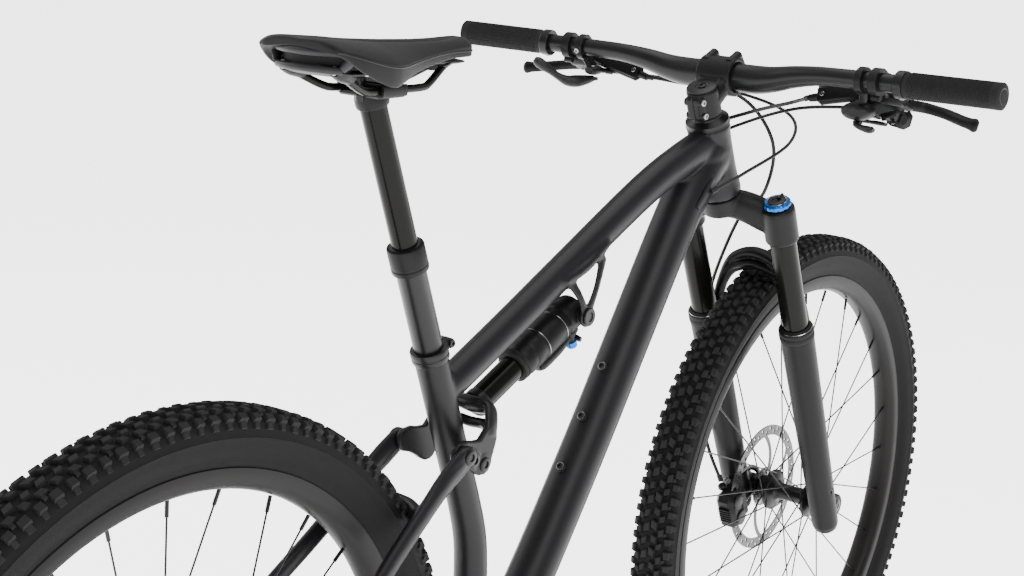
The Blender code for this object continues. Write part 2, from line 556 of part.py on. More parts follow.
# ---------------------------------------------------------------- fork
def build_fork():
    crown = rod("fork_crown", steer(0.4990), steer(0.5232), 0.0240, BLACK_ALLOY, r1=0.0265, sides=16)
    steerer = rod("fork_steerer", steer(0.5100), steer(0.6222), 0.0150, sides=20)
    join(crown, steerer)
    for side in (-1, 1):
        arm = pipe(f"crown_arm_{side}", [steer(0.5110, 0.000, side * 0.004), steer(0.5000, 0.010, side * 0.034),
                                         steer(0.4830, 0.018, side * 0.058), steer(0.4790, LEG_P, side * LEG_Y)],
                   [0.0120, 0.0130, 0.0140, 0.0140], None, 2, 2)
        clamp = rod(f"crown_clamp_{side}", steer(0.4541, LEG_P, side * LEG_Y), steer(0.5034, LEG_P, side * LEG_Y),
                    0.0215, sides=16)
        socket = rod(f"crown_socket_{side}", steer(0.4400, LEG_P, side * LEG_Y), steer(0.4800, LEG_P, side * LEG_Y),
                     0.0175 + GAP, sides=16)
        join(crown, arm, clamp)
        cut(crown, socket)
    for name, side in (("stanchion_left", 1), ("stanchion_right", -1)):
        rod(name, steer(0.1800, LEG_P, side * LEG_Y), steer(0.4797, LEG_P, side * LEG_Y), 0.0170, GLOSS_BLACK, sides=20)
    cap = [(0.0, 0.5070), (0.0060, 0.5070), (0.0110, 0.5110), (0.0150, 0.5120), (0.0175, 0.5095), (0.0175, 0.5045),
           (0.0150, 0.5037), (0.0, 0.5037)]
    turned("fork_dial", cap, FOOT + STEER_FWD * LEG_P + Vector((0, -LEG_Y, 0)), STEER_UP, BLUE, 16)

    lowers = None
    for side in (-1, 1):
        leg = [(0.0, 0.3238), (0.0235, 0.3238), (0.0235, 0.3120), (0.0220, 0.3090), (0.0215, 0.2500), (0.0195, 0.0600),
               (0.0185, -0.0150), (0.0120, -0.0240), (0.0, -0.0250)]
        name = "fork_lowers" if side < 0 else "fork_leg_left"
        look = BLACK_ALLOY if side < 0 else None
        tube = turned(name, leg, FOOT + STEER_FWD * LEG_P + Vector((0, side * LEG_Y, 0)), STEER_UP, look, 16)
        foot = rod(f"fork_foot_{side}", steer(0.0, FORK_OFFSET, side * 0.0552), steer(0.0, FORK_OFFSET, side * 0.0770),
                   0.0165, sides=16)
        lug = block(f"fork_lug_{side}", steer(0.004, 0.030, side * 0.0640), (0.030, 0.0170, 0.040),
                    tilt=Matrix((STEER_FWD, Vector((0, 1, 0)), STEER_UP)).transposed())
        if lowers is None:
            lowers = join(tube, lug, foot)
        else:
            join(lowers, tube, lug, foot)
    arch = [steer(s, p, y) for y, s, p in ((-0.070, 0.272, 0.038), (-0.065, 0.316, 0.048), (-0.055, 0.350, 0.055),
                                            (-0.038, 0.382, 0.056), (-0.018, 0.398, 0.056), (0.018, 0.398, 0.056),
                                            (0.038, 0.382, 0.056), (0.055, 0.350, 0.055), (0.065, 0.316, 0.048),
                                            (0.070, 0.272, 0.038))]
    join(lowers, pipe("fork_arch", arch, 0.0085, None, 1, 2))
    for side in (-1, 1):
        room = rod(f"fork_bore_{side}", steer(0.0400, LEG_P, side * LEG_Y), steer(0.3500, LEG_P, side * LEG_Y),
                   0.0175 + GAP, sides=18)
        cut(lowers, room)

    # Caliper behind the left leg. The slot for the rotor stays closed at the back, beyond the rotor's edge.
    tilt = Matrix((STEER_FWD, Vector((0, 1, 0)), STEER_UP)).transposed()
    join(lowers, block("caliper_mount", steer(0.0200, -0.0030, 0.0610), (0.0152, 0.0100, 0.0560), tilt=tilt))
    caliper = block("front_caliper", steer(0.0220, -0.0310, 0.0470), (0.0400, 0.0300, 0.0600), BLACK_ALLOY, tilt=tilt)
    bevel(caliper, 0.003)
    slot = block("front_caliper_slot", steer(0.0220, -0.0175, 0.0420), (0.0600, 0.0046, 0.0900), tilt=tilt)
    cut(caliper, slot)


# ---------------------------------------------------------------- shock
def shock(t, y=0.0, n=0.0):
    """Point t from the frame pivot towards the stay pivot, n above that line."""
    along = (STAY_PIVOT - SHOCK_PIVOT).normalized()
    up = Vector((along.z, 0.0, -along.x))
    return SHOCK_PIVOT + along * t + up * n + Vector((0.0, y, 0.0))


def build_shock():
    along = (STAY_PIVOT - SHOCK_PIVOT).normalized()
    can = [(0.0, -0.0100), (0.0165, -0.0100), (0.0195, -0.0060), (0.0195, 0.0230), (0.0205, 0.0250), (0.0205, 0.0980),
           (0.0185, 0.1080), (0.0150, 0.1080), (0.0150, 0.0120), (0.0, 0.0120)]
    turned("shock_body", can, SHOCK_PIVOT, along, BLACK_ALLOY, 20)
    rod("shock_shaft", shock(0.0740), shock(0.1780), 0.0145, GLOSS_BLACK, sides=20)
    lever = block("shock_lever", shock(0.0080, -0.0040, -0.0260), (0.0100, 0.0240, 0.0090), BLACK_ALLOY,
                  tilt=Matrix.Rotation(math.radians(-24.1), 3, "Y"))
    bevel(lever, 0.002)

    # Yoke: a block on the shaft's end and an arm down each side of the seat tube to the stay pivot.
    yoke = block("shock_yoke", shock(0.1870, 0.0, -0.001), (0.0170, 0.0800, 0.0250), BLACK_ALLOY,
                 tilt=Matrix.Rotation(math.radians(-24.1), 3, "Y"))
    outline = [(-0.1480, 0.6580), (-0.1580, 0.6680), (-0.1690, 0.6640), (-0.1790, 0.6440), (-0.1900, 0.6330),
               (-0.2120, 0.6390), (-0.2240, 0.6375), (-0.2320, 0.6300), (-0.2320, 0.6200), (-0.2230, 0.6140),
               (-0.2020, 0.6050), (-0.1880, 0.5960), (-0.1770, 0.5980), (-0.1700, 0.6090), (-0.1600, 0.6320),
               (-0.1500, 0.6480)]
    for side in (-1, 1):
        y0 = side * 0.0330
        y1 = side * 0.0400
        arm = plate(f"shock_yoke_arm_{side}", outline, min(y0, y1), max(y0, y1))
        join(yoke, arm)
        for k, (x, z) in enumerate(((-0.2010, 0.6160), (-0.1830, 0.6075))):
            join(yoke, rod(f"yoke_bolt_{side}_{k}", (x, side * 0.0390, z), (x, side * 0.0425, z), 0.0070, sides=12))


# ---------------------------------------------------------------- rear triangle
def build_rear():
    chainstays = None
    for side in (-1, 1):
        path = [Vector((-0.1380, side * 0.0425, 0.3800)), Vector((-0.1750, side * 0.0425, 0.3780)),
                Vector((-0.2350, side * 0.0470, 0.3750)), Vector((-0.3600, side * 0.0590, 0.3720)),
                Vector((-0.5000, side * 0.0745, 0.3700)), Vector((-0.5700, side * 0.0800, 0.3705))]
        name = "chainstays" if side < 0 else "chainstay_left"
        look = ALLOY_PAINT if side < 0 else None
        radii = [0.0058, 0.0060, 0.0075, 0.0085, 0.0075, 0.0055]
        tube = pipe(name, path, radii, look, 2, 2)
        eye = rod(f"chainstay_eye_{side}", MAIN_PIVOT + Vector((0, side * 0.0366, 0)),
                  MAIN_PIVOT + Vector((0, side * 0.0480, 0)), 0.0150, sides=16)
        drop = rod(f"chainstay_drop_{side}", REAR + Vector((0, side * 0.0740, 0)), REAR + Vector((0, side * 0.0840, 0)),
                   0.0165, sides=16)
        if chainstays is None:
            chainstays = join(tube, eye, drop)
        else:
            join(chainstays, tube, eye, drop)
    bridge = rod("chainstay_bridge", (-0.1860, -0.0430, 0.3775), (-0.1860, 0.0430, 0.3775), 0.0105, sides=14)
    join(chainstays, bridge)
    hanger = plate("chainstay_hanger", [(-0.5700, 0.3600), (-0.5950, 0.3600), (-0.5990, 0.3300), (-0.5850, 0.3220),
                                        (-0.5740, 0.3300)], -0.0820, -0.0745)
    join(chainstays, hanger)

    seatstays = None
    for side in (-1, 1):
        path = [STAY_PIVOT + Vector((0, side * 0.0460, 0)), Vector((-0.2660, side * 0.0470, 0.5990)),
                Vector((-0.3400, side * 0.0520, 0.5470)), Vector((-0.4700, side * 0.0690, 0.4545)),
                Vector((-0.5480, side * 0.0790, 0.3990))]
        name = "seatstays" if side < 0 else "seatstay_left"
        look = ALLOY_PAINT if side < 0 else None
        tube = pipe(name, path, [0.0052, 0.0080, 0.0085, 0.0075, 0.0050], look, 2, 2)
        head = rod(f"seatstay_head_{side}", STAY_PIVOT + Vector((0, side * 0.0404, 0)),
                   STAY_PIVOT + Vector((0, side * 0.0510, 0)), 0.0110, sides=18)
        bolt = rod(f"seatstay_bolt_{side}", STAY_PIVOT + Vector((0, side * 0.0500, 0)),
                   STAY_PIVOT + Vector((0, side * 0.0530, 0)), 0.0070, sides=12)
        if seatstays is None:
            seatstays = join(tube, head, bolt)
        else:
            join(seatstays, tube, head, bolt)
    bridge = rod("seatstay_bridge", (-0.2680, -0.0480, 0.5905), (-0.2680, 0.0480, 0.5905), 0.0080, sides=14)
    join(seatstays, bridge)
    for side in (-1, 1):
        room = rod(f"stay_room_{side}", REAR + Vector((0, side * 0.060, 0)), REAR + Vector((0, side * 0.095, 0)),
                   0.0165 + 2 * GAP, sides=20)
        cut(seatstays, room)
        stay = [Vector((-0.3600, side * 0.0590, 0.3720)), Vector((-0.5000, side * 0.0745, 0.3700)),
                Vector((-0.5700, side * 0.0800, 0.3705))]
        cut(seatstays, pipe(f"stay_cut_{side}", stay, [0.0092, 0.0082, 0.0062], None, 2, 2))

    # Caliper between the left stays, closed beyond the rotor's edge, with its hose along the chainstay.
    tilt = Matrix.Rotation(math.radians(-38.0), 3, "Y")
    out = Vector((math.cos(math.radians(38.0)), 0.0, math.sin(math.radians(38.0))))
    caliper = block("rear_caliper", REAR + out * 0.0740 + Vector((0, 0.0585, 0)), (0.0380, 0.0180, 0.0400), BLACK_ALLOY,
                    tilt=tilt)
    bevel(caliper, 0.003)
    slot = block("rear_caliper_slot", REAR + out * 0.0600 + Vector((0, 0.0590, 0)), (0.0520, 0.0046, 0.0600), tilt=tilt)
    hose = pipe("rear_caliper_hose", [REAR + out * 0.0880 + Vector((0, 0.0620, -0.0060)),
                                      Vector((-0.4700, 0.0760, 0.4000)), Vector((-0.4000, 0.0740, 0.3870)),
                                      Vector((-0.2800, 0.0580, 0.3890)), Vector((-0.1700, 0.0540, 0.3990))],
                0.0024, None, 3, 1)
    cut(caliper, slot)
    join(caliper, hose)


# ---------------------------------------------------------------- drivetrain
CHAIN_Y = -0.0450                # chain plane at the rear pulleys
RING_Y = -0.0552                 # chain plane at the chainring
GUIDE = Vector((-0.5740, CHAIN_Y, 0.2660))
TENSION = Vector((-0.5520, CHAIN_Y, 0.1760))
PULLEY_R = 0.0235
CAGE_PIVOT = Vector((-0.5820, CHAIN_Y, 0.2580))


def tangent(c0, r0, d0, c1, r1, d1):
    """Points where a belt leaves circle 0 and meets circle 1; d is 1 for clockwise, -1 for the other way."""
    delta = c1 - c0
    length = delta.length
    base = math.atan2(delta.y, delta.x)
    offset = math.asin(max(-1.0, min(1.0, (d1 * r1 - d0 * r0) / length)))
    angle = base + offset
    normal = Vector((-math.sin(angle), math.cos(angle)))
    return c0 + normal * (r0 * d0), c1 + normal * (r1 * d1)


def belt(circles, step):
    """Closed path round (x, z, radius, direction) circles, in the order the belt travels."""
    count = len(circles)
    leave = []
    meet = []
    for i in range(count):
        x0, z0, r0, d0 = circles[i]
        x1, z1, r1, d1 = circles[(i + 1) % count]
        out, into = tangent(Vector((x0, z0)), r0, d0, Vector((x1, z1)), r1, d1)
        leave.append(out)
        meet.append(into)
    path = []
    for i in range(count):
        x, z, r, d = circles[i]
        centre = Vector((x, z))
        a = meet[i - 1] - centre
        b = leave[i] - centre
        a0 = math.atan2(a.y, a.x)
        a1 = math.atan2(b.y, b.x)
        sweep = (a0 - a1) * d % (2 * math.pi)
        parts = max(1, round(sweep * r / step))
        for k in range(parts + 1):
            angle = a0 - d * sweep * k / parts
            path.append(centre + Vector((math.cos(angle), math.sin(angle))) * r)
    return path


def pedal(name, side, x):
    centre = Vector((x, side * 0.1480, BB.z))
    body = block(name, centre, (0.0960, 0.0960, 0.0130), PLASTIC)
    bevel(body, 0.005)
    barrel = rod(name + "_barrel", centre + Vector((0, -side * 0.0520, 0)), centre + Vector((0, side * 0.0480, 0)), 0.0085,
                 sides=14)
    for k in (-1, 1):
        hole = block(f"{name}_window_{k}", centre + Vector((k * 0.0240, 0, 0)), (0.0270, 0.0740, 0.0300))
        cut(body, hole)
    join(body, barrel)


def crank_outline(x0, x1):
    d = 1 if x1 > x0 else -1
    z = BB.z
    return [(x0 - d * 0.020, z), (x0 - d * 0.014, z + 0.014), (x0, z + 0.020), (x0 + d * 0.030, z + 0.0150),
            (x1 - d * 0.010, z + 0.0125), (x1 + d * 0.006, z + 0.0110), (x1 + d * 0.0125, z),
            (x1 + d * 0.006, z - 0.0110), (x1 - d * 0.010, z - 0.0125), (x0 + d * 0.030, z - 0.0150),
            (x0, z - 0.020), (x0 - d * 0.014, z - 0.014)]


def build_drive():
    arm = plate("crank_right", crank_outline(BB.x, BB.x + 0.170), -0.0860, -0.0730, BLACK_ALLOY)
    bevel(arm, 0.003)
    spindle = rod("crank_spindle", BB + Vector((0, -0.0750, 0)), BB + Vector((0, 0.0726, 0)), 0.0135, sides=20)
    boss = rod("crank_boss", BB + Vector((0, -0.0750, 0)), BB + Vector((0, -0.0375, 0)), 0.0190, sides=20)
    stub = rod("crank_stub_right", (BB.x + 0.170, -0.0850, BB.z), (BB.x + 0.170, -0.0955, BB.z), 0.0060, sides=10)
    join(arm, spindle, boss, stub)
    left = plate("crank_left", crank_outline(BB.x, BB.x - 0.170), 0.0730, 0.0860, BLACK_ALLOY)
    bevel(left, 0.003)
    stub = rod("crank_stub_left", (BB.x - 0.170, 0.0850, BB.z), (BB.x - 0.170, 0.0955, BB.z), 0.0060, sides=10)
    join(left, stub)

    ring = [(0.0665, -0.0562), (0.0665, -0.0542), (0.0560, -0.0538), (0.0560, -0.0566)]
    chainring = turned("chainring", ring, BB, (0, 1, 0), BLACK_ALLOY, 24, closed=True)
    core = [(0.0290, -0.0566), (0.0290, -0.0538), (0.0198, -0.0538), (0.0198, -0.0566)]
    join(chainring, turned("chainring_core", core, BB, (0, 1, 0), None, 16, closed=True))
    for k in range(4):
        a = math.pi / 4 + k * math.pi / 2
        d = Vector((math.cos(a), 0.0, math.sin(a)))
        n = Vector((-d.z, 0.0, d.x))
        corners = [BB + d * 0.026 + n * 0.009, BB + d * 0.026 - n * 0.009, BB + d * 0.059 - n * 0.006,
                   BB + d * 0.059 + n * 0.006]
        join(chainring, plate(f"chainring_arm_{k}", [(c.x, c.z) for c in corners], -0.0563, -0.0541))

    pedal("pedal_right", -1, BB.x + 0.170)
    pedal("pedal_left", 1, BB.x - 0.170)

    cog = 28 * 0.0127 / (2 * math.pi)
    ring_r = 32 * 0.0127 / (2 * math.pi)
    circles = [(REAR.x, REAR.z, cog + 0.0046, -1), (GUIDE.x, GUIDE.z, PULLEY_R + 0.0036, 1),
               (TENSION.x, TENSION.z, PULLEY_R + 0.0036, -1), (BB.x, BB.z, ring_r + 0.0050, -1)]
    path = belt(circles, 0.014)
    points = []
    for p in path:
        share = max(0.0, min(1.0, (p.x - REAR.x) / (BB.x - REAR.x)))
        points.append(Vector((p.x, CHAIN_Y + (RING_Y - CHAIN_Y) * share, p.y)))
    pipe("chain", points, 0.0022, DARK_STEEL, 1, 1, cyclic=True)

    # Rear derailleur: body on the hanger, parallelogram link, cage and two pulleys.
    body = rod("derailleur_body", (-0.5860, -0.0830, 0.3330), (-0.5860, -0.0950, 0.3330), 0.0130, BLACK_ALLOY, sides=18)
    knuckle = block("derailleur_knuckle", (-0.5980, -0.0890, 0.3180), (0.0220, 0.0120, 0.0220))
    join(body, knuckle)
    link = plate("derailleur_link", [(-0.6090, 0.3045), (-0.5960, 0.3045), (-0.5760, 0.2740), (-0.5740, 0.2560),
                                     (-0.5880, 0.2500), (-0.6070, 0.2840)], -0.0920, -0.0700, BLACK_ALLOY)
    bevel(link, 0.002)
    p_knuckle = rod("derailleur_p_knuckle", (CAGE_PIVOT.x, -0.0523, CAGE_PIVOT.z),
                    (CAGE_PIVOT.x, -0.0940, CAGE_PIVOT.z), 0.0125, sides=16)
    join(link, p_knuckle)
    cage_line = (TENSION - GUIDE).normalized()
    side = Vector((-cage_line.z, 0.0, cage_line.x))
    wide = 0.0105
    outer_outline = [GUIDE - cage_line * 0.011 + side * wide, GUIDE - cage_line * 0.011 - side * wide,
                     TENSION + cage_line * 0.011 - side * wide, TENSION + cage_line * 0.011 + side * wide]
    flat = [(c.x, c.z) for c in outer_outline]
    cage = plate("derailleur_cage", flat, CHAIN_Y - 0.0070, CHAIN_Y - 0.0050, BLACK_ALLOY)
    inner = plate("cage_inner", flat, CHAIN_Y + 0.0050, CHAIN_Y + 0.0070)
    join(cage, inner)
    for k, point in enumerate((GUIDE, TENSION)):
        pin = rod(f"cage_pin_{k}", point + Vector((0, -0.0072, 0)), point + Vector((0, 0.0072, 0)), 0.0030, sides=10)
        join(cage, pin)
    for name, point in (("guide_pulley", GUIDE), ("tension_pulley", TENSION)):
        wheel = [(0.0034, -0.0012), (PULLEY_R, -0.0012), (PULLEY_R, 0.0012), (0.0034, 0.0012)]
        turned(name, wheel, point, (0, 1, 0), PLASTIC, 24, closed=True)


# ---------------------------------------------------------------- hoses and cables
def build_cables():
    front = [Vector((0.3385, 0.1285, 0.9772)), Vector((0.3600, 0.0800, 0.9730)), Vector((0.3980, 0.0200, 0.9450)),
             Vector((0.4200, -0.0200, 0.8900)), Vector((0.4240, -0.0120, 0.8250)), steer(0.4200, 0.0800, 0.0100),
             steer(0.3400, 0.0700, 0.0750), steer(0.2900, 0.0480, 0.0905), steer(0.2400, 0.0220, 0.0955),
             steer(0.1200, -0.0060, 0.0880), steer(0.0620, -0.0300, 0.0580)]
    pipe("hose_front", front, 0.0024, RUBBER, 3, 1)
    rear = [Vector((0.3385, -0.1285, 0.9772)), Vector((0.3560, -0.0800, 0.9560)), Vector((0.3700, -0.0100, 0.9300)),
            Vector((0.3450, 0.0420, 0.9050)), Vector((0.2900, 0.0450, 0.8740)), Vector((0.2620, 0.0310, 0.8520))]
    pipe("hose_rear", rear, 0.0024, RUBBER, 3, 1)
    shift = [Vector((0.3330, -0.1700, 0.9580)), Vector((0.3500, -0.0900, 0.9460)), Vector((0.3640, -0.0100, 0.9180)),
             Vector((0.3350, 0.0420, 0.8860)), Vector((0.2780, 0.0450, 0.8500)), Vector((0.2480, 0.0310, 0.8320))]
    pipe("shift_cable", shift, 0.0021, RUBBER, 3, 1)
    dropper = [Vector((0.3270, 0.1800, 0.9640)), Vector((0.3500, 0.1000, 0.9620)), Vector((0.3800, 0.0000, 0.9500)),
               Vector((0.3860, -0.0620, 0.9300)), Vector((0.3600, -0.0760, 0.9000)), Vector((0.2950, -0.0520, 0.8660)),
               Vector((0.2560, -0.0310, 0.8440))]
    pipe("dropper_cable", dropper, 0.0021, RUBBER, 3, 1)


build_wheels()
build_frame()
build_saddle()
build_cockpit()
build_levers()
build_fork()
build_shock()
build_rear()
build_drive()
build_cables()

for piece in list(PARTS.objects) + list(CUTTERS.objects):
    if piece.parent is None:
        piece.location = piece.location - STAND_POINT
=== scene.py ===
"""Looks for the mountain bike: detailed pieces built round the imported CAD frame."""
import math
import random

import bpy
from mathutils import Matrix, Vector


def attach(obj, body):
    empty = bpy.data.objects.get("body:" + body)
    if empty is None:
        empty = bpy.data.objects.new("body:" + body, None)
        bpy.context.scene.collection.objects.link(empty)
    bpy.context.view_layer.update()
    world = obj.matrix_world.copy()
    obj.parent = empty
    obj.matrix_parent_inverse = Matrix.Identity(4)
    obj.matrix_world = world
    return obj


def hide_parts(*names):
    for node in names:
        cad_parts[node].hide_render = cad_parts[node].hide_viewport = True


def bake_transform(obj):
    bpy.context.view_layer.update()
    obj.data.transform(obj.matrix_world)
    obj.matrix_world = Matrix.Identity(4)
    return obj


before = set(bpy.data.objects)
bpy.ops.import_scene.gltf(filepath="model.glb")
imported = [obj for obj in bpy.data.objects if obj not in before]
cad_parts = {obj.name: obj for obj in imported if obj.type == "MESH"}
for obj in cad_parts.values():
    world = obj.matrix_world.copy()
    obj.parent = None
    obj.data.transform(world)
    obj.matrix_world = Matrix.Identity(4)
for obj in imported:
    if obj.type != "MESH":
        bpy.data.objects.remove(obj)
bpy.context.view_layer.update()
random.seed(7)

# ---------------------------------------------------------------- dimensions, as the CAD has them
# Pieces are drawn with the ground at z = 0 and x = 0 midway between the axles, then moved by SHIFT.
AXLE_Z = 0.371
FRONT = Vector((0.5825, 0.0, AXLE_Z))
REAR = Vector((-0.5825, 0.0, AXLE_Z))
BB = Vector((-0.14, 0.0, 0.33))
MAIN_PIVOT = Vector((-0.138, 0.0, 0.38))
STAY_PIVOT = Vector((-0.2205, 0.0, 0.626))
SHOCK_PIVOT = Vector((0.012, 0.0, 0.73))
HEAD_ANGLE = math.radians(66.0)
LEG_P = 0.02
LEG_Y = 0.069
SEAT_POINT = Vector((-0.2288, 0.0, 0.725))
SEAT_UP = Vector((-0.3515, 0.0, 0.9362)).normalized()
SHIFT = -(SEAT_POINT + SEAT_UP * 0.06)
STEER_UP = Vector((-math.cos(HEAD_ANGLE), 0.0, math.sin(HEAD_ANGLE)))
STEER_FWD = Vector((math.sin(HEAD_ANGLE), 0.0, math.cos(HEAD_ANGLE)))
FOOT = FRONT - STEER_FWD * 0.044
BAR = FOOT + STEER_UP * 0.665 + STEER_FWD * 0.045
SHOCK_DIR = (STAY_PIVOT - SHOCK_PIVOT).normalized()
SHOCK_TOP = Vector((SHOCK_DIR.z, 0.0, -SHOCK_DIR.x))
SPOKES = 28
CHAIN_PITCH = 0.0127
CRANK_LENGTH = 0.17
RING_TEETH = 32
COG_TEETH = (50, 42, 36, 32, 28, 24, 21, 18, 16, 14, 12, 10)
CHAIN_COG_TEETH = 28
PULLEY_TEETH = 12
Y = Vector((0.0, 1.0, 0.0))
UP = Vector((0.0, 0.0, 1.0))


def steer(s, p=0.0, y=0.0):
    """Point s up the steering axis, p forward of it and y to the left."""
    return FOOT + STEER_UP * s + STEER_FWD * p + Y * y


def leg(side):
    """Axis point of a fork leg, level with the axle along the steering axis."""
    return FOOT + STEER_FWD * LEG_P + Y * side * LEG_Y


def pitch_radius(teeth):
    """Radius at which a chain lies round a sprocket with this many teeth."""
    return teeth * CHAIN_PITCH / (2 * math.pi)


def seat(t):
    """Point t up the seat tube's axis."""
    return SEAT_POINT + SEAT_UP * t


def shock(t, y=0.0, n=0.0):
    """Point t down the shock from its upper pivot, y to the left and n above its axis."""
    return SHOCK_PIVOT + SHOCK_DIR * t + SHOCK_TOP * n + Y * y


# ---------------------------------------------------------------- materials
# Colour and roughness mix a broad and a fine noise; relief is a shallow bump over modelled shapes.
BROAD_SCALE = 0.06
BROAD_SHARE = 0.55
FINE_SHARE = 0.45
SPECKLE_SCALE = 2600.0
RELIEF_DEPTH = 0.0004
SPECKLE_LIMIT = 0.16
RIB_SHARE = 0.9
RAMP_ENDS = (0.32, 0.68)
BROAD_DETAIL, FINE_DETAIL, RELIEF_DETAIL = 6.0, 4.0, 5.0


def math_node(nodes, operation, second):
    """Math node with its second value set."""
    node = nodes.new("ShaderNodeMath")
    node.operation = operation
    node.inputs[1].default_value = second
    return node


def surface(name, colour, rough, metal=0.0, vary=0.12, grain=400.0, rough_vary=0.06, bump=0.0,
        bump_scale=900.0, kind="noise", coat=0.0, coat_rough=0.1, sheen=0.0, speckle=0.0, uv_ribs=0.0,
        specular=0.5):
    """Procedural material: colour and roughness vary over the surface, with fine relief."""
    mat = bpy.data.materials.new(name)
    mat.use_nodes = True
    nodes = mat.node_tree.nodes
    links = mat.node_tree.links
    shader = nodes["Principled BSDF"]
    shader.inputs["Metallic"].default_value = metal
    shader.inputs["Coat Weight"].default_value = coat
    shader.inputs["Coat Roughness"].default_value = coat_rough
    shader.inputs["Sheen Weight"].default_value = sheen
    shader.inputs["Specular IOR Level"].default_value = specular
    where = nodes.new("ShaderNodeTexCoord")
    place = nodes.new("ShaderNodeMapping")
    links.new(where.outputs["Object"], place.inputs["Vector"])
    broad = nodes.new("ShaderNodeTexNoise")
    broad.inputs["Scale"].default_value = grain * BROAD_SCALE
    broad.inputs["Detail"].default_value = BROAD_DETAIL
    fine = nodes.new("ShaderNodeTexNoise")
    fine.inputs["Scale"].default_value = grain
    fine.inputs["Detail"].default_value = FINE_DETAIL
    for tex in (broad, fine):
        links.new(place.outputs["Vector"], tex.inputs["Vector"])
    both = math_node(nodes, "MULTIPLY_ADD", FINE_SHARE)
    links.new(fine.outputs["Fac"], both.inputs[0])
    half = math_node(nodes, "MULTIPLY", BROAD_SHARE)
    links.new(broad.outputs["Fac"], half.inputs[0])
    links.new(half.outputs[0], both.inputs[2])
    ramp = nodes.new("ShaderNodeValToRGB")
    ramp.color_ramp.elements[0].position = RAMP_ENDS[0]
    ramp.color_ramp.elements[1].position = RAMP_ENDS[1]
    ramp.color_ramp.elements[0].color = (*[c * (1.0 - vary) for c in colour], 1.0)
    ramp.color_ramp.elements[1].color = (*[min(1.0, c * (1.0 + vary)) for c in colour], 1.0)
    links.new(both.outputs[0], ramp.inputs["Fac"])
    tone = ramp.outputs["Color"]
    if speckle > 0.0:
        dots = nodes.new("ShaderNodeTexVoronoi")
        dots.inputs["Scale"].default_value = SPECKLE_SCALE
        links.new(where.outputs["Object"], dots.inputs["Vector"])
        pick = math_node(nodes, "LESS_THAN", SPECKLE_LIMIT)
        links.new(dots.outputs["Distance"], pick.inputs[0])
        part = math_node(nodes, "MULTIPLY", speckle)
        links.new(pick.outputs[0], part.inputs[0])
        mix = nodes.new("ShaderNodeMixRGB")
        mix.inputs["Color2"].default_value = (*[min(1.0, c * 3.0 + 0.02) for c in colour], 1.0)
        links.new(part.outputs[0], mix.inputs["Fac"])
        links.new(tone, mix.inputs["Color1"])
        tone = mix.outputs["Color"]
    links.new(tone, shader.inputs["Base Color"])
    spread = nodes.new("ShaderNodeMapRange")
    spread.inputs["To Min"].default_value = max(0.02, rough - rough_vary)
    spread.inputs["To Max"].default_value = min(1.0, rough + rough_vary)
    links.new(both.outputs[0], spread.inputs["Value"])
    links.new(spread.outputs["Result"], shader.inputs["Roughness"])
    if bump > 0.0:
        if kind == "cells":
            relief = nodes.new("ShaderNodeTexVoronoi")
            relief.feature = "SMOOTH_F1"
            height = relief.outputs["Distance"]
        else:
            relief = nodes.new("ShaderNodeTexNoise")
            relief.inputs["Detail"].default_value = RELIEF_DETAIL
            height = relief.outputs["Fac"]
        relief.inputs["Scale"].default_value = bump_scale
        links.new(place.outputs["Vector"], relief.inputs["Vector"])
        if uv_ribs > 0.0:
            ribs = nodes.new("ShaderNodeTexWave")
            ribs.inputs["Scale"].default_value = uv_ribs
            ribs.inputs["Distortion"].default_value = 0.0
            links.new(where.outputs["UV"], ribs.inputs["Vector"])
            total = math_node(nodes, "MULTIPLY_ADD", RIB_SHARE)
            links.new(ribs.outputs["Fac"], total.inputs[0])
            links.new(height, total.inputs[2])
            height = total.outputs[0]
        bumps = nodes.new("ShaderNodeBump")
        bumps.inputs["Strength"].default_value = bump
        bumps.inputs["Distance"].default_value = RELIEF_DEPTH
        links.new(height, bumps.inputs["Height"])
        links.new(bumps.outputs["Normal"], shader.inputs["Normal"])
    return mat


PAINT = surface("paint_charcoal", (0.007, 0.0067, 0.0078), 0.4, 0.0, 0.1, 300.0, 0.05, 0.06, 1500.0, coat=0.1,
        coat_rough=0.3, speckle=0.16, specular=0.14)
FORK_PAINT = surface("fork_charcoal", (0.004, 0.0039, 0.0042), 0.44, 0.0, 0.1, 300.0, 0.05, 0.1, 1300.0,
        coat=0.08, coat_rough=0.35, speckle=0.1, specular=0.09)
ANODISED = surface("anodised_black", (0.0053, 0.0053, 0.0057), 0.32, 0.15, 0.15, 500.0, 0.06, 0.08, 2200.0,
        specular=0.25)
SATIN = surface("satin_black_alloy", (0.0057, 0.0056, 0.0062), 0.4, 0.1, 0.14, 420.0, 0.06, 0.1, 1800.0,
        specular=0.15)
GLOSS = surface("gloss_black_tube", (0.0032, 0.0031, 0.0026), 0.2, 0.0, 0.12, 200.0, 0.03, 0.02, 900.0,
        specular=0.11)
TREAD = surface("tyre_tread", (0.0124, 0.0122, 0.0123), 0.78, 0.0, 0.24, 260.0, 0.08, 0.4, 1400.0,
        specular=0.15)
WALL = surface("tyre_sidewall", (0.0058, 0.0056, 0.0059), 0.66, 0.0, 0.15, 200.0, 0.06, 0.3, 1200.0,
        uv_ribs=1.0, specular=0.09)
RIM = surface("rim_satin", (0.0076, 0.0068, 0.0067), 0.42, 0.05, 0.12, 300.0, 0.05, 0.08, 1200.0,
        specular=0.13)
SPOKE = surface("spoke_black", (0.0056, 0.0056, 0.006), 0.35, 0.2, 0.15, 500.0, 0.05, 0.05, 2500.0,
        specular=0.26)
STEEL = surface("rotor_steel", (0.09, 0.09, 0.09), 0.27, 1.0, 0.12, 220.0, 0.08, 0.18, 700.0)
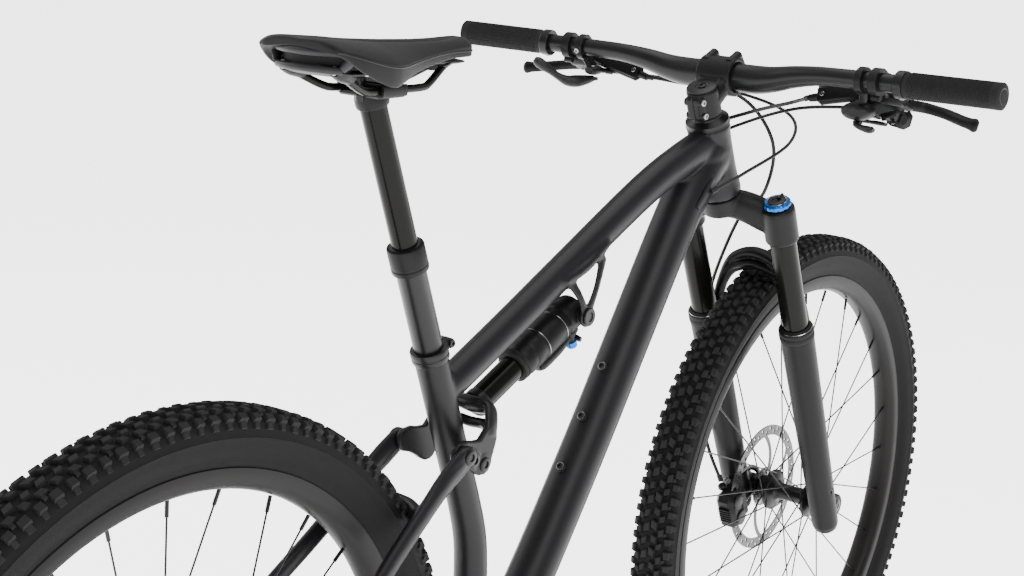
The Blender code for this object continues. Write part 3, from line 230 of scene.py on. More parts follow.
BOLT = surface("bolt_steel", (0.27, 0.27, 0.265), 0.28, 1.0, 0.14, 600.0, 0.06, 0.08, 2500.0)
DARK_BOLT = surface("bolt_black", (0.014, 0.014, 0.0147), 0.32, 0.55, 0.15, 600.0, 0.06, 0.08, 2500.0,
        specular=0.3)
COG = surface("cog_nickel", (0.2, 0.2, 0.195), 0.32, 1.0, 0.16, 300.0, 0.08, 0.12, 1500.0)
CHAIN = surface("chain_steel", (0.16, 0.16, 0.165), 0.32, 1.0, 0.22, 700.0, 0.08, 0.12, 2500.0)
GRIP = surface("grip_rubber", (0.0077, 0.0077, 0.0081), 0.76, 0.0, 0.18, 500.0, 0.06, 0.25, 2200.0,
        specular=0.17)
PLASTIC = surface("moulded_plastic", (0.0074, 0.0074, 0.0081), 0.44, 0.0, 0.14, 500.0, 0.06, 0.22, 2600.0,
        specular=0.24)
COVER = surface("saddle_cover_skin", (0.0074, 0.0072, 0.0077), 0.52, 0.0, 0.14, 260.0, 0.06, 0.26, 1500.0,
        kind="cells", sheen=0.02, specular=0.12)
TRIM = surface("grey_plastic_trim", (0.0176, 0.0176, 0.0188), 0.46, 0.0, 0.12, 400.0, 0.06, 0.2, 2400.0,
        specular=0.22)
HOSE = surface("hose_jacket", (0.0056, 0.0056, 0.0059), 0.34, 0.0, 0.12, 500.0, 0.05, 0.08, 1500.0,
        specular=0.25)
BLUE = surface("blue_anodised", (0.004, 0.11, 0.42), 0.26, 0.75, 0.12, 400.0, 0.05, 0.06, 1800.0)
SEAL = surface("seal_rubber", (0.0074, 0.0074, 0.0076), 0.66, 0.0, 0.12, 400.0, 0.05, 0.15, 1800.0,
        specular=0.18)
BRIGHT = surface("bright_ring", (0.5, 0.5, 0.49), 0.2, 1.0, 0.08, 400.0, 0.04, 0.03, 1500.0)


# ---------------------------------------------------------------- shapes as (points, faces)
def axes_for(direction, hint=None):
    z = Vector(direction).normalized()
    hint = Vector(hint) if hint is not None else Vector((1.0, 0.0, 0.0))
    if abs(z.dot(hint.normalized())) > 0.95:
        hint = UP if abs(z.z) < 0.9 else Y
    x = (hint - z * z.dot(hint)).normalized()
    return x, z.cross(x), z


def curve(points, count):
    """Smooth curve through rows of numbers, as count + 1 rows evenly spread over the spans."""
    rows = [tuple(p) for p in points]
    rows = [rows[0]] + rows + [rows[-1]]
    spans = len(rows) - 3
    out = []
    for k in range(count + 1):
        t = min(k * spans / count, spans - 1e-9)
        i = int(t)
        f = t - i
        a, b, c, d = rows[i:i + 4]
        out.append(tuple(0.5 * (2 * q + (r - p) * f + (2 * p - 5 * q + 4 * r - s) * f * f
                + (3 * q - p - 3 * r + s) * f ** 3) for p, q, r, s in zip(a, b, c, d)))
    return out


def skin(rings, closed=False, caps=True):
    """Faces over rings of equally many points."""
    n = len(rings[0])
    points = [p for ring in rings for p in ring]
    faces = []
    last = len(rings) if closed else len(rings) - 1
    for k in range(last):
        a, b = k * n, (k + 1) % len(rings) * n
        for i in range(n):
            j = (i + 1) % n
            faces.append((a + i, a + j, b + j, b + i))
    if caps and not closed:
        faces.append(tuple(reversed(range(n))))
        faces.append(tuple(range((len(rings) - 1) * n, len(rings) * n)))
    return points, faces


def tube(points, sides=16, caps=True, flat=(1.0, 1.0), closed=False):
    """Round or oval tube along rows (x, y, z, radius)."""
    line = [Vector(p[:3]) for p in points]
    radii = [p[3] for p in points]
    rings = []
    x_axis = None
    n = len(line)
    for k in range(n):
        if closed:
            d = line[(k + 1) % n] - line[k - 1]
        else:
            d = line[min(k + 1, n - 1)] - line[max(k - 1, 0)]
        d = d.normalized()
        if x_axis is None:
            x_axis, y_axis, _ = axes_for(d, Y)
        else:
            x_axis = (x_axis - d * d.dot(x_axis)).normalized()
            y_axis = d.cross(x_axis)
        ring = []
        for i in range(sides):
            a = 2 * math.pi * i / sides
            ring.append(line[k] + x_axis * (radii[k] * flat[0] * math.cos(a)) + y_axis
                    * (radii[k] * flat[1] * math.sin(a)))
        rings.append(ring)
    return skin(rings, closed, caps)


def bent(rows, count=40, sides=16, flat=(1.0, 1.0)):
    """Tube along the smooth curve through the rows."""
    return tube(curve(rows, count), sides, flat=flat)


def rod(a, b, r0, r1=None, sides=20):
    a, b = Vector(a), Vector(b)
    return tube([(*a, r0), (*b, r0 if r1 is None else r1)], sides)


def lathe(profile, origin, axis, steps=48, closed=False):
    """Turn (radius, height) rows about an axis. Open profiles get flat ends where they miss the axis."""
    x, y, z = axes_for(axis)
    origin = Vector(origin)
    rings = []
    for r, h in profile:
        rings.append([origin + z * h + x * (r * math.cos(2 * math.pi * i / steps)) + y
                * (r * math.sin(2 * math.pi * i / steps)) for i in range(steps)])
    return skin(rings, closed)


def prism(outline, y0, y1):
    """Flat outline of (x, z) rows with thickness from y0 to y1."""
    rings = [[Vector((x, y, z)) for x, z in outline] for y in (y0, y1)]
    return skin(rings)


def box(centre, size, rows=None, chamfer=0.0):
    """Block whose axes are rows (x, y, z vectors); chamfer cuts its long edges."""
    rows = rows or (Vector((1, 0, 0)), Y, UP)
    centre = Vector(centre)
    hx, hy, hz = (s / 2 for s in size)
    c = min(chamfer, hx * 0.9, hz * 0.9)
    loop = [(-hx + c, -hz), (hx - c, -hz), (hx, -hz + c), (hx, hz - c), (hx - c, hz), (-hx + c, hz),
            (-hx, hz - c), (-hx, -hz + c)] if c > 0 else [(-hx, -hz), (hx, -hz), (hx, hz), (-hx, hz)]
    rings = []
    for y, k in ((-hy, 1.0 if c == 0 else 0.0), (-hy + c, 1.0), (hy - c, 1.0), (hy, 1.0 if c == 0 else 0.0)):
        if c == 0 and abs(y) != hy:
            continue
        ring = []
        for u, w in loop:
            if k == 0.0:
                u *= (hx - c) / hx
                w *= (hz - c) / hz
            ring.append(centre + rows[0] * u + rows[1] * y + rows[2] * w)
        rings.append(ring)
    if c == 0:
        rings = [rings[0], rings[-1]]
    return skin(rings)


def hexbolt(at, direction, r=0.0045, height=0.0035):
    """Round socket bolt head with a hexagonal recess."""
    d = Vector(direction).normalized()
    x, y, z = axes_for(d)
    at = Vector(at)
    rings = []
    for radius, h in ((r, -0.002), (r, height * 0.75), (r * 0.86, height), (r * 0.5, height),
            (r * 0.5, height * 0.35)):
        ring = []
        for i in range(24):
            a = 2 * math.pi * i / 24
            k = 1.0
            if radius < r * 0.6:
                k = math.cos(math.pi / 6) / math.cos((a % (math.pi / 3)) - math.pi / 6)
            ring.append(at + z * h + x * (radius * k * math.cos(a)) + y * (radius * k * math.sin(a)))
        rings.append(ring)
    return skin(rings)


PIECES = {}


def put(shapes, finish, *parts):
    """Add parts that share one finish to a piece's (shape, finish) rows."""
    shapes += [(part, finish) for part in parts]


def make(name, shapes, body, slot, replaces=(), bevel=0.0, subdivide=0, voxel=0.0, melt=0, sharp=35.0,
        uv=None):
    """Mesh piece from (shape, material) rows. voxel melts the shapes into one skin, smoothed melt times."""
    points, faces, slots, mats = [], [], [], []
    for shape, mat in shapes:
        base = len(points)
        points += [tuple(Vector(p) + SHIFT) for p in shape[0]]
        faces += [tuple(i + base for i in f) for f in shape[1]]
        if mat not in mats:
            mats.append(mat)
        slots += [mats.index(mat)] * len(shape[1])
    mesh = bpy.data.meshes.new(name)
    mesh.from_pydata(points, [], faces)
    for mat in mats:
        mesh.materials.append(mat)
    mesh.polygons.foreach_set("material_index", slots)
    mesh.polygons.foreach_set("use_smooth", [True] * len(faces))
    if uv is not None:
        layer = mesh.uv_layers.new(name="UVMap")
        for loop in mesh.loops:
            layer.data[loop.index].uv = uv(mesh.vertices[loop.vertex_index].co - SHIFT)
    mesh.validate()
    mesh.update()
    obj = bpy.data.objects.new(name, mesh)
    bpy.context.scene.collection.objects.link(obj)
    if voxel > 0.0:
        mod = obj.modifiers.new("melt", "REMESH")
        mod.mode = "VOXEL"
        mod.voxel_size = voxel
        mod.use_smooth_shade = True
        if melt:
            mod = obj.modifiers.new("ease", "SMOOTH")
            mod.factor = 0.5
            mod.iterations = melt
    else:
        if bevel > 0.0:
            mod = obj.modifiers.new("bevel", "BEVEL")
            mod.width = bevel
            mod.segments = 2
            mod.limit_method = "ANGLE"
            mod.angle_limit = math.radians(sharp)
            mod.harden_normals = False
        if subdivide:
            mod = obj.modifiers.new("subdivide", "SUBSURF")
            mod.levels = subdivide
            mod.render_levels = subdivide
        else:
            mesh.set_sharp_from_angle(angle=math.radians(sharp))
    if body is not None:
        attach(obj, body)
    if replaces:
        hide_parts(*replaces)
    PIECES[name] = obj
    return obj


# ---------------------------------------------------------------- wheels
TREAD_PITCHES = 132


def knob(centre, angle, y, radius, wide, long, tall, lean=0.0, skew=0.0):
    """Tread block on the tyre at this angle and y. lean tips it outwards, skew shears it forwards."""
    out = Vector((math.cos(angle), 0.0, math.sin(angle)))
    along = Vector((-math.sin(angle), 0.0, math.cos(angle)))
    side = Y
    if lean:
        out, side = out * math.cos(lean) + Y * math.sin(lean), Y * math.cos(lean) - out * math.sin(lean)
    base = centre + Vector((math.cos(angle), 0.0, math.sin(angle))) * radius + Y * y
    rings = []
    for h, k in ((-0.003, 1.12), (tall - 0.0007, 0.98), (tall, 0.84)):
        rings.append([base + out * h + side * (u * wide * 0.5 * k) + along
                * (w * long * 0.5 * k + skew * u * wide) for u, w in ((-1, -1), (1, -1), (1, 1), (-1, 1))])
    return skin(rings)


def build_tyre(name, centre, body):
    half = [(0.315, 0.013), (0.3158, 0.016), (0.3185, 0.0172), (0.3205, 0.0182), (0.3222, 0.019),
            (0.324, 0.0203), (0.33, 0.024), (0.338, 0.0268), (0.344, 0.0277), (0.345, 0.0284),
            (0.346, 0.0278), (0.352, 0.0272), (0.358, 0.0252), (0.3625, 0.0215), (0.3652, 0.016),
            (0.3664, 0.009), (0.3668, 0.0)]
    inner = [(0.363, 0.01), (0.356, 0.02), (0.345, 0.024), (0.33, 0.02)]
    outline = half + [(r, -h) for r, h in reversed(half[:-1])] + [(r, -h) for r, h in reversed(inner)] + inner
    carcass = lathe(outline, centre, Y, 128, closed=True)
    shapes = [(carcass, WALL)]
    step = 2 * math.pi / TREAD_PITCHES
    for k in range(TREAD_PITCHES):
        a = k * step
        odd = k % 2
        for side in (-1, 1):
            shift = 0.25 * step if side > 0 else 0.0
            put(shapes, TREAD, knob(centre, a + shift, side * (0.0052 if odd else 0.0068), 0.3666,
                    0.008 if odd else 0.0066, 0.0098 if odd else 0.0082, 0.0041, 0.0, side * 0.22),
                    knob(centre, a + 0.5 * step, side * (0.015 if odd else 0.0138), 0.3657, 0.006,
                    0.0092 if odd else 0.0076, 0.0039, side * 0.2, side * -0.18),
                    knob(centre, a + 0.1 * step, side * 0.0222, 0.361, 0.0078, 0.01 if odd else 0.0082,
                    0.0044, side * 0.58, 0.0), knob(centre, a + 0.1 * step, side * 0.0259, 0.356, 0.0072,
                    0.0072 if odd else 0.0056, 0.0017, side * 1.12, 0.0))
            if odd:
                put(shapes, TREAD, knob(centre, a + 0.6 * step, side * 0.019, 0.364, 0.0046, 0.0046, 0.0026,
                        side * 0.4, 0.0))

    def uv(p):
        d = p - centre
        angle = math.atan2(d.z, d.x)
        return angle * 60.0, math.hypot(d.x, d.z) * 10.0

    make(name + "_skin", shapes, body, name, (name,), uv=uv)


def build_rim(name, centre, body):
    half = [(0.3152, 0.015), (0.3158, 0.016), (0.315, 0.0172), (0.311, 0.0176), (0.303, 0.0172),
            (0.2985, 0.015), (0.295, 0.0105), (0.2932, 0.0055), (0.2928, 0.0)]
    well = [(0.306, 0.008), (0.309, 0.013)]
    outline = half + [(r, -h) for r, h in reversed(half[:-1])] + [(r, -h) for r, h in reversed(well)] + well
    shapes = [(lathe(outline, centre, Y, 128, closed=True), RIM)]
    a = math.radians(262.0)
    out = Vector((math.cos(a), 0.0, math.sin(a)))
    put(shapes, DARK_BOLT, rod(centre + out * 0.2935, centre + out * 0.255, 0.003, 0.0028, 12),
            rod(centre + out * 0.264, centre + out * 0.248, 0.0036, 0.003, 12))
    put(shapes, BOLT, rod(centre + out * 0.293, centre + out * 0.289, 0.0052, 0.0052, 12))
    make(name + "_hoop", shapes, body, name, (name,))


def build_hub(name, centre, profile, flanges, flange_r, body):
    shapes = [(lathe(profile, centre, Y, 48), ANODISED)]
    for k in range(SPOKES):
        side = k % 2
        lean = 1 if (k // 2) % 2 else -1
        angle = 2 * math.pi * k / SPOKES
        start_angle = angle + lean * math.radians(72.0)
        y_flange = flanges[side] + lean * 0.0026
        start = centre + Vector(((flange_r - 0.0035) * math.cos(start_angle), y_flange,
                (flange_r - 0.0035) * math.sin(start_angle)))
        end = centre + Vector((0.29 * math.cos(angle), flanges[side] * 0.06, 0.29 * math.sin(angle)))
        along = (end - start).normalized()
        put(shapes, SPOKE, rod(start, end - along * 0.01, 0.001, 0.001, 8))
        put(shapes, DARK_BOLT, rod(end - along * 0.014, end + along * 0.002, 0.0019, 0.0019, 8))
        head = centre + Vector(((flange_r - 0.0035) * math.cos(start_angle), flanges[side] - lean * 0.003,
                (flange_r - 0.0035) * math.sin(start_angle)))
        put(shapes, SPOKE, rod(head, start, 0.0017, 0.0012, 8))
    make(name + "_laced", shapes, body, name, (name,))


def ring_grid(centre, y, half, rows, steps, hole):
    """Flat ring in rows of radii and angle steps, without the cells where hole(row, step), with thickness."""
    used = {}
    points, faces = [], []

    def vert(i, j, side):
        key = (i, j % steps, side)
        if key not in used:
            used[key] = len(points)
            a = 2 * math.pi * j / steps
            points.append(centre + Vector((rows[i] * math.cos(a), y + side * half, rows[i] * math.sin(a))))
        return used[key]

    last = len(rows) - 1
    solid = [[not hole(i, j) for j in range(steps)] for i in range(last)]
    for i in range(last):
        for j in range(steps):
            if not solid[i][j]:
                continue
            for side in (-1, 1):
                quad = (vert(i, j, side), vert(i, j + 1, side), vert(i + 1, j + 1, side),
                        vert(i + 1, j, side))
                faces.append(quad if side < 0 else tuple(reversed(quad)))
            for di, dj, a, b in ((-1, 0, (i, j), (i, j + 1)), (1, 0, (i + 1, j + 1), (i + 1, j)),
                    (0, -1, (i + 1, j), (i, j)), (0, 1, (i, j + 1), (i + 1, j + 1))):
                ni, nj = i + di, (j + dj) % steps
                if 0 <= ni < last and solid[ni][nj]:
                    continue
                faces.append((vert(*b, -1), vert(*a, -1), vert(*a, 1), vert(*b, 1)))
    return points, faces


def build_rotor(name, centre, y, radius, bore, body):
    inner = radius - 0.0145
    rows = [inner + 0.0145 * k / 6 for k in range(7)]

    def hole(i, j):
        k = j % 10
        if i in (1, 2):
            return k in (0, 1)
        if i in (3, 4):
            return k in (5, 6)
        return False

    band = ring_grid(centre, y, 0.0009, rows, 240, hole)
    shapes = [(band, STEEL)]
    core = [(bore + 0.011, 0.0009), (bore + 0.011, -0.0009), (bore, -0.0009), (bore, 0.0009)]
    put(shapes, STEEL, lathe([(r, h + y) for r, h in core], centre, Y, 48, closed=True))
    for k in range(6):
        a0 = math.pi * k / 3
        rows = []
        for t in range(9):
            f = t / 8
            r = bore + 0.008 + (radius - 0.01 - bore - 0.008) * f
            a = a0 + 0.62 * f ** 1.3
            rows.append((centre.x + r * math.cos(a), centre.y + y, centre.z + r * math.sin(a),
                    0.0046 - 0.0012 * f))
        put(shapes, STEEL, tube(rows, 8, True, (0.2, 1.0)))
        a = a0 + 0.1
        at = centre + Vector(((bore + 0.0055) * math.cos(a), y, (bore + 0.0055) * math.sin(a)))
        put(shapes, BOLT, hexbolt(at, Y, 0.0036, 0.0022))
    make(name + "_disc", shapes, body, name, (name,))


def gear(centre, y, half, root, tip, teeth, bore):
    """Toothed flat ring."""
    steps = teeth * 6
    rings = [[], [], [], []]
    for j in range(steps):
        a = 2 * math.pi * j / steps
        k = j % 6
        r = tip if k in (2, 3) else (root + (tip - root) * 0.72 if k in (1, 4) else root)
        d = Vector((1, 0, 0)) * math.cos(a) + UP * math.sin(a)
        for ring, rad, s in zip(rings, (bore, r, r, bore), (-1, -1, 1, 1)):
            ring.append(centre + d * rad + Y * (y + s * half * (0.7 if r == tip and rad == r else 1.0)))
    return skin(rings, closed=True)


def build_wheels():
    build_tyre("front_tyre", FRONT, "front_wheel")
    build_rim("front_rim", FRONT, "front_wheel")
    front = [(0.004, 0.0546), (0.009, 0.0546), (0.0095, 0.0536), (0.0095, 0.048), (0.0165, 0.0475),
            (0.0168, 0.044), (0.0168, 0.04), (0.015, 0.038), (0.015, 0.03), (0.0275, 0.0275),
            (0.0288, 0.0262), (0.0288, 0.0225), (0.027, 0.021), (0.015, 0.017), (0.0118, 0.012),
            (0.0112, 0.0), (0.0118, -0.022), (0.015, -0.028), (0.0252, -0.0312), (0.0263, -0.0325),
            (0.0263, -0.0352), (0.0252, -0.0364), (0.015, -0.04), (0.0145, -0.0475), (0.0095, -0.048),
            (0.0095, -0.0536), (0.009, -0.0546), (0.004, -0.0546)]
    build_hub("front_hub", FRONT, front, (0.024, -0.0338), 0.0275, "front_wheel")
    build_rotor("front_rotor", FRONT, 0.042, 0.09, 0.0168, "front_wheel")
    build_tyre("rear_tyre", REAR, "rear_wheel")
    build_rim("rear_rim", REAR, "rear_wheel")
    rear = [(0.004, 0.0736), (0.009, 0.0736), (0.0095, 0.0726), (0.0095, 0.066), (0.0165, 0.0655),
            (0.0165, 0.056), (0.0148, 0.054), (0.015, 0.044), (0.0285, 0.039), (0.0298, 0.0378),
            (0.0298, 0.033), (0.0285, 0.0318), (0.018, 0.027), (0.015, 0.02), (0.015, -0.013),
            (0.018, -0.017), (0.0278, -0.0205), (0.0288, -0.0215), (0.0288, -0.024), (0.0278, -0.025),
            (0.017, -0.0275), (0.017, -0.069), (0.0095, -0.0695), (0.0095, -0.0726), (0.009, -0.0736),
            (0.004, -0.0736)]
    build_hub("rear_hub", REAR, rear, (0.0352, -0.0222), 0.028, "rear_wheel")
    build_rotor("rear_rotor", REAR, 0.059, 0.08, 0.0168, "rear_wheel")

    shapes = []
    for k, count in enumerate(COG_TEETH):
        r = pitch_radius(count)
        y = -0.0308 - k * 0.0033
        if k < 4:
            band = r - 0.011
            put(shapes, COG, gear(REAR, y, 0.0009, r - 0.0025, r + 0.0022, count, band))
            for j in range(8):
                a = 2 * math.pi * j / 8 + 0.12 * k
                d = Vector((math.cos(a), 0, math.sin(a)))
                e = Vector((math.cos(a + 0.22), 0, math.sin(a + 0.22)))
                put(shapes, COG, tube([(*(REAR + d * 0.02 + Y * y), 0.0042),
                        (*(REAR + e * (band + 0.003) + Y * y), 0.0034)], 8, True, (0.2, 1.0)))
            put(shapes, COG, lathe([(0.025, y + 0.001), (0.025, y - 0.001), (0.0178, y - 0.001),
                    (0.0178, y + 0.001)], REAR, Y, 32, closed=True))
        else:
            put(shapes, COG, gear(REAR, y, 0.0009, r - 0.0025, r + 0.0022, count, 0.0178))
            spacer = y - 0.0016
            put(shapes, DARK_BOLT, lathe([(min(0.022, r - 0.003), spacer + 0.0007),
                    (min(0.022, r - 0.003), spacer - 0.0007), (0.0178, spacer - 0.0007),
                    (0.0178, spacer + 0.0007)], REAR, Y, 32, closed=True))
    make("cassette_cogs", shapes, "cassette", "cassette", ("cassette",))


# ---------------------------------------------------------------- frame
DOWN_ROWS = [(-0.128, 0, 0.335, 0.0275), (-0.09, 0, 0.368, 0.0275), (-0.036, 0, 0.43, 0.027),
        (0.06, 0, 0.562, 0.0268), (0.14, 0, 0.68, 0.027), (0.226, 0, 0.806, 0.0275),
        (0.262, 0, 0.848, 0.0278), (0.303, 0, 0.882, 0.0262)]
TOP_ROWS = [(-0.218, 0, 0.679, 0.0165), (-0.19, 0, 0.692, 0.0178), (-0.1, 0, 0.734, 0.018),
        (0.0, 0, 0.7817, 0.0185), (0.15, 0, 0.852, 0.0195), (0.235, 0, 0.882, 0.0208),
        (0.303, 0, 0.899, 0.0222)]
SEAT_ROWS = [(-0.1405, 0, 0.352, 0.02), (-0.143, 0, 0.4, 0.0192), (-0.146, 0, 0.45, 0.0186),
        (-0.15, 0, 0.505, 0.0182), (-0.1635, 0, 0.552, 0.0177), (-0.185, 0, 0.6085, 0.0175),
        (-0.207, 0, 0.667, 0.0175), (*seat(0.0), 0.0176)]


def build_frame():
    shapes = [bent(DOWN_ROWS, 60, 28, (1.0, 1.0)), bent(TOP_ROWS, 50, 24, (0.94, 1.04)),
            bent(SEAT_ROWS, 50, 24)]
    shapes.append(lathe([(0.0262, 0.5237), (0.0275, 0.524), (0.0278, 0.532), (0.0262, 0.545), (0.0256, 0.56),
            (0.0256, 0.595), (0.0262, 0.61), (0.0271, 0.616), (0.0271, 0.622), (0.0262, 0.6224)], FOOT,
            STEER_UP, 40))
    shapes.append(bent([(0.262, 0, 0.872, 0.019), (0.28, 0, 0.88, 0.025), (0.305, 0, 0.89, 0.0262)], 10, 24))
    shapes.append(rod(BB - Y * 0.0364, BB + Y * 0.0364, 0.0242, sides=40))
    shapes.append(rod(MAIN_PIVOT - Y * 0.0361, MAIN_PIVOT + Y * 0.0361, 0.0152, sides=32))
    shapes.append(box((BB + MAIN_PIVOT) / 2 + Vector((0.004, 0, 0)), (0.03, 0.06, 0.046)))
    for side in (-1, 1):
        y = side * 0.025
        hold = SHOCK_PIVOT
        shapes.append(rod(hold + Y * side * 0.0222, hold + Y * side * 0.028, 0.0125, sides=24))
        shapes.append(bent([(hold.x + 0.004, y, hold.z + 0.006, 0.0052), (0.03, y * 0.98, 0.76, 0.0046),
                (0.052, y * 0.66, 0.792, 0.006)], 12, 12, (0.62, 1.2)))
        shapes.append(bent([(hold.x - 0.004, y, hold.z + 0.006, 0.0052), (0.0, y * 0.98, 0.752, 0.0046),
                (-0.01, y * 0.64, 0.772, 0.006)], 12, 12, (0.62, 1.2)))
        shapes.append(bent([(-0.022, side * 0.015, 0.772, 0.006), (0.016, side * 0.0172, 0.785, 0.007),
                (0.06, side * 0.015, 0.806, 0.006)], 12, 12))
    make("frame_skin", [(s, PAINT) for s in shapes], "frame", "down_tube",
            ("head_tube", "top_tube", "down_tube", "seat_tube", "bb_shell"), voxel=0.0021, melt=8)

    hardware = []
    along = Vector((0.57565, 0, 0.8177))
    normal = Vector((-0.8177, 0, 0.57565))
    for k in range(3):
        foot = Vector((-0.036, 0, 0.43)) + along * (0.125 + 0.064 * k)
        put(hardware, PAINT, lathe([(0.0, 0.0245), (0.0062, 0.025), (0.0062, 0.028), (0.0056, 0.0284),
                (0.0, 0.0285)], foot, normal, 24))
        put(hardware, DARK_BOLT, hexbolt(foot + normal * 0.0285, normal, 0.004, 0.0022))
        put(hardware, BOLT, lathe([(0.004, 0.0282), (0.0049, 0.0284), (0.0049, 0.0294), (0.004, 0.0294)],
                foot, normal, 24, closed=True))
    for side in (-1, 1):
        put(hardware, ANODISED, lathe([(0.0105, 0.0), (0.0105, 0.002), (0.0095, 0.003), (0.0055, 0.003),
                (0.005, 0.0018), (0.0, 0.0018)], SHOCK_PIVOT + Y * side * 0.0278, Y * side, 32),
                lathe([(0.0125, 0.0), (0.0125, 0.0014), (0.0112, 0.0022), (0.0, 0.0022)],
                MAIN_PIVOT + Y * side * 0.0355, Y * side, 32), lathe([(0.027, 0.0), (0.027, 0.0045),
                (0.025, 0.0055), (0.016, 0.0055)], BB + Y * side * 0.0345, Y * side, 48))
    # headset cups
    put(hardware, ANODISED, lathe([(0.022, 0.6222), (0.0276, 0.6222), (0.0276, 0.6232), (0.022, 0.6232)],
            FOOT, STEER_UP, 48, closed=True))
    # cable port on each side of the down tube, below the head tube
    for side in (-1, 1):
        at = Vector((0.25, side * 0.0262, 0.842))
        put(hardware, PLASTIC, bent([(*(at - Vector((0.016, 0, 0.016))), 0.0045),
                (*(at + Y * side * 0.0012), 0.0062), (*(at + Vector((0.016, 0, 0.016))), 0.0045)], 12, 14,
                (0.45, 1.0)))
    make("frame_hardware", hardware, "frame", "bb_shell")

    # seat clamp
    shapes = [(lathe([(0.0176, -0.004), (0.0192, -0.004), (0.0197, -0.003), (0.0197, 0.001), (0.0192, 0.0016),
            (0.0192, 0.0026), (0.0199, 0.0034), (0.0201, 0.0078), (0.0194, 0.0096), (0.0158, 0.01),
            (0.0158, 0.009)], SEAT_POINT, SEAT_UP, 48), ANODISED)]
    front = SEAT_UP.cross(Y).normalized() * -1
    if front.x < 0:
        front = -front
    base = seat(0.004) + front * 0.0222
    for side in (-1, 1):
        put(shapes, ANODISED, rod(base + Y * side * 0.0014, base + Y * side * 0.011, 0.0058, 0.0054),
                box(base - front * 0.004 + Y * side * 0.0066, (0.008, 0.01, 0.0106), (front, Y, SEAT_UP),
                0.0022))
    put(shapes, DARK_BOLT, rod(base - Y * 0.01, base + Y * 0.01, 0.0026),
            hexbolt(base - Y * 0.0112, -Y, 0.0042, 0.0026))
    slot_way = (front * 0.55 - Y * 0.835).normalized()
    put(shapes, SEAL, box(seat(-0.011) + slot_way * 0.0174, (0.002, 0.0026, 0.009),
            (slot_way, slot_way.cross(SEAT_UP), SEAT_UP), 0.0008))
    make("seat_clamp", shapes, "frame", "seat_tube", bevel=0.0006)

    outer = [(0.0154, -0.08), (0.01545, 0.098), (0.016, 0.1), (0.0186, 0.101), (0.0192, 0.1022),
            (0.0192, 0.106), (0.0186, 0.1064), (0.0186, 0.1084), (0.0192, 0.1088), (0.0192, 0.1275),
            (0.0186, 0.129), (0.0168, 0.13), (0.016, 0.13), (0.015, 0.1285), (0.0135, 0.128)]
    shapes = [(lathe(outer[:3], SEAT_POINT, SEAT_UP, 48), ANODISED),
            (lathe(outer[2:12], SEAT_POINT, SEAT_UP, 48), SATIN), (lathe(outer[10:], SEAT_POINT, SEAT_UP, 48),
            SEAL)]
    make("post_outer_tube", shapes, "frame", "post_outer", ("post_outer",))


# ---------------------------------------------------------------- saddle
def saddle_ring(x, half, top, crown, edge, sunk, drop, square):
    """Section of the saddle skin at x: crowned top with a channel, hanging skirts, hollow underside."""
    ring = []
    for i in range(33):
        u = math.cos(math.pi * i / 32)
        z = top - crown * abs(u) ** square - sunk * math.exp(-(u * half / 0.01) ** 2)
        ring.append(Vector((x, half * u, z)))
    side = top - crown - edge
    for y, z in ((1.0, side), (0.99, side - drop * 0.5), (0.965, side - drop), (0.92, side - drop - 0.0006),
            (0.89, side - drop * 0.9), (0.84, side - drop * 0.2), (0.55, side + 0.002)):
        ring.append(Vector((x, -half * y, z)))
    return ring + [Vector((x, -p.y, p.z)) for p in reversed(ring[33:])]


def rail_rows(side):
    return [(-0.226, side * 0.007, 1.024, 0.0039), (-0.238, side * 0.009, 1.019, 0.0039),
            (-0.268, side * 0.018, 1.0065, 0.0039), (-0.284, side * 0.022, 1.004, 0.0039),
            (-0.32, side * 0.022, 1.004, 0.0039), (-0.356, side * 0.022, 1.004, 0.0039),
            (-0.372, side * 0.024, 1.007, 0.0039), (-0.396, side * 0.029, 1.018, 0.0039),
            (-0.41, side * 0.031, 1.0255, 0.0039)]


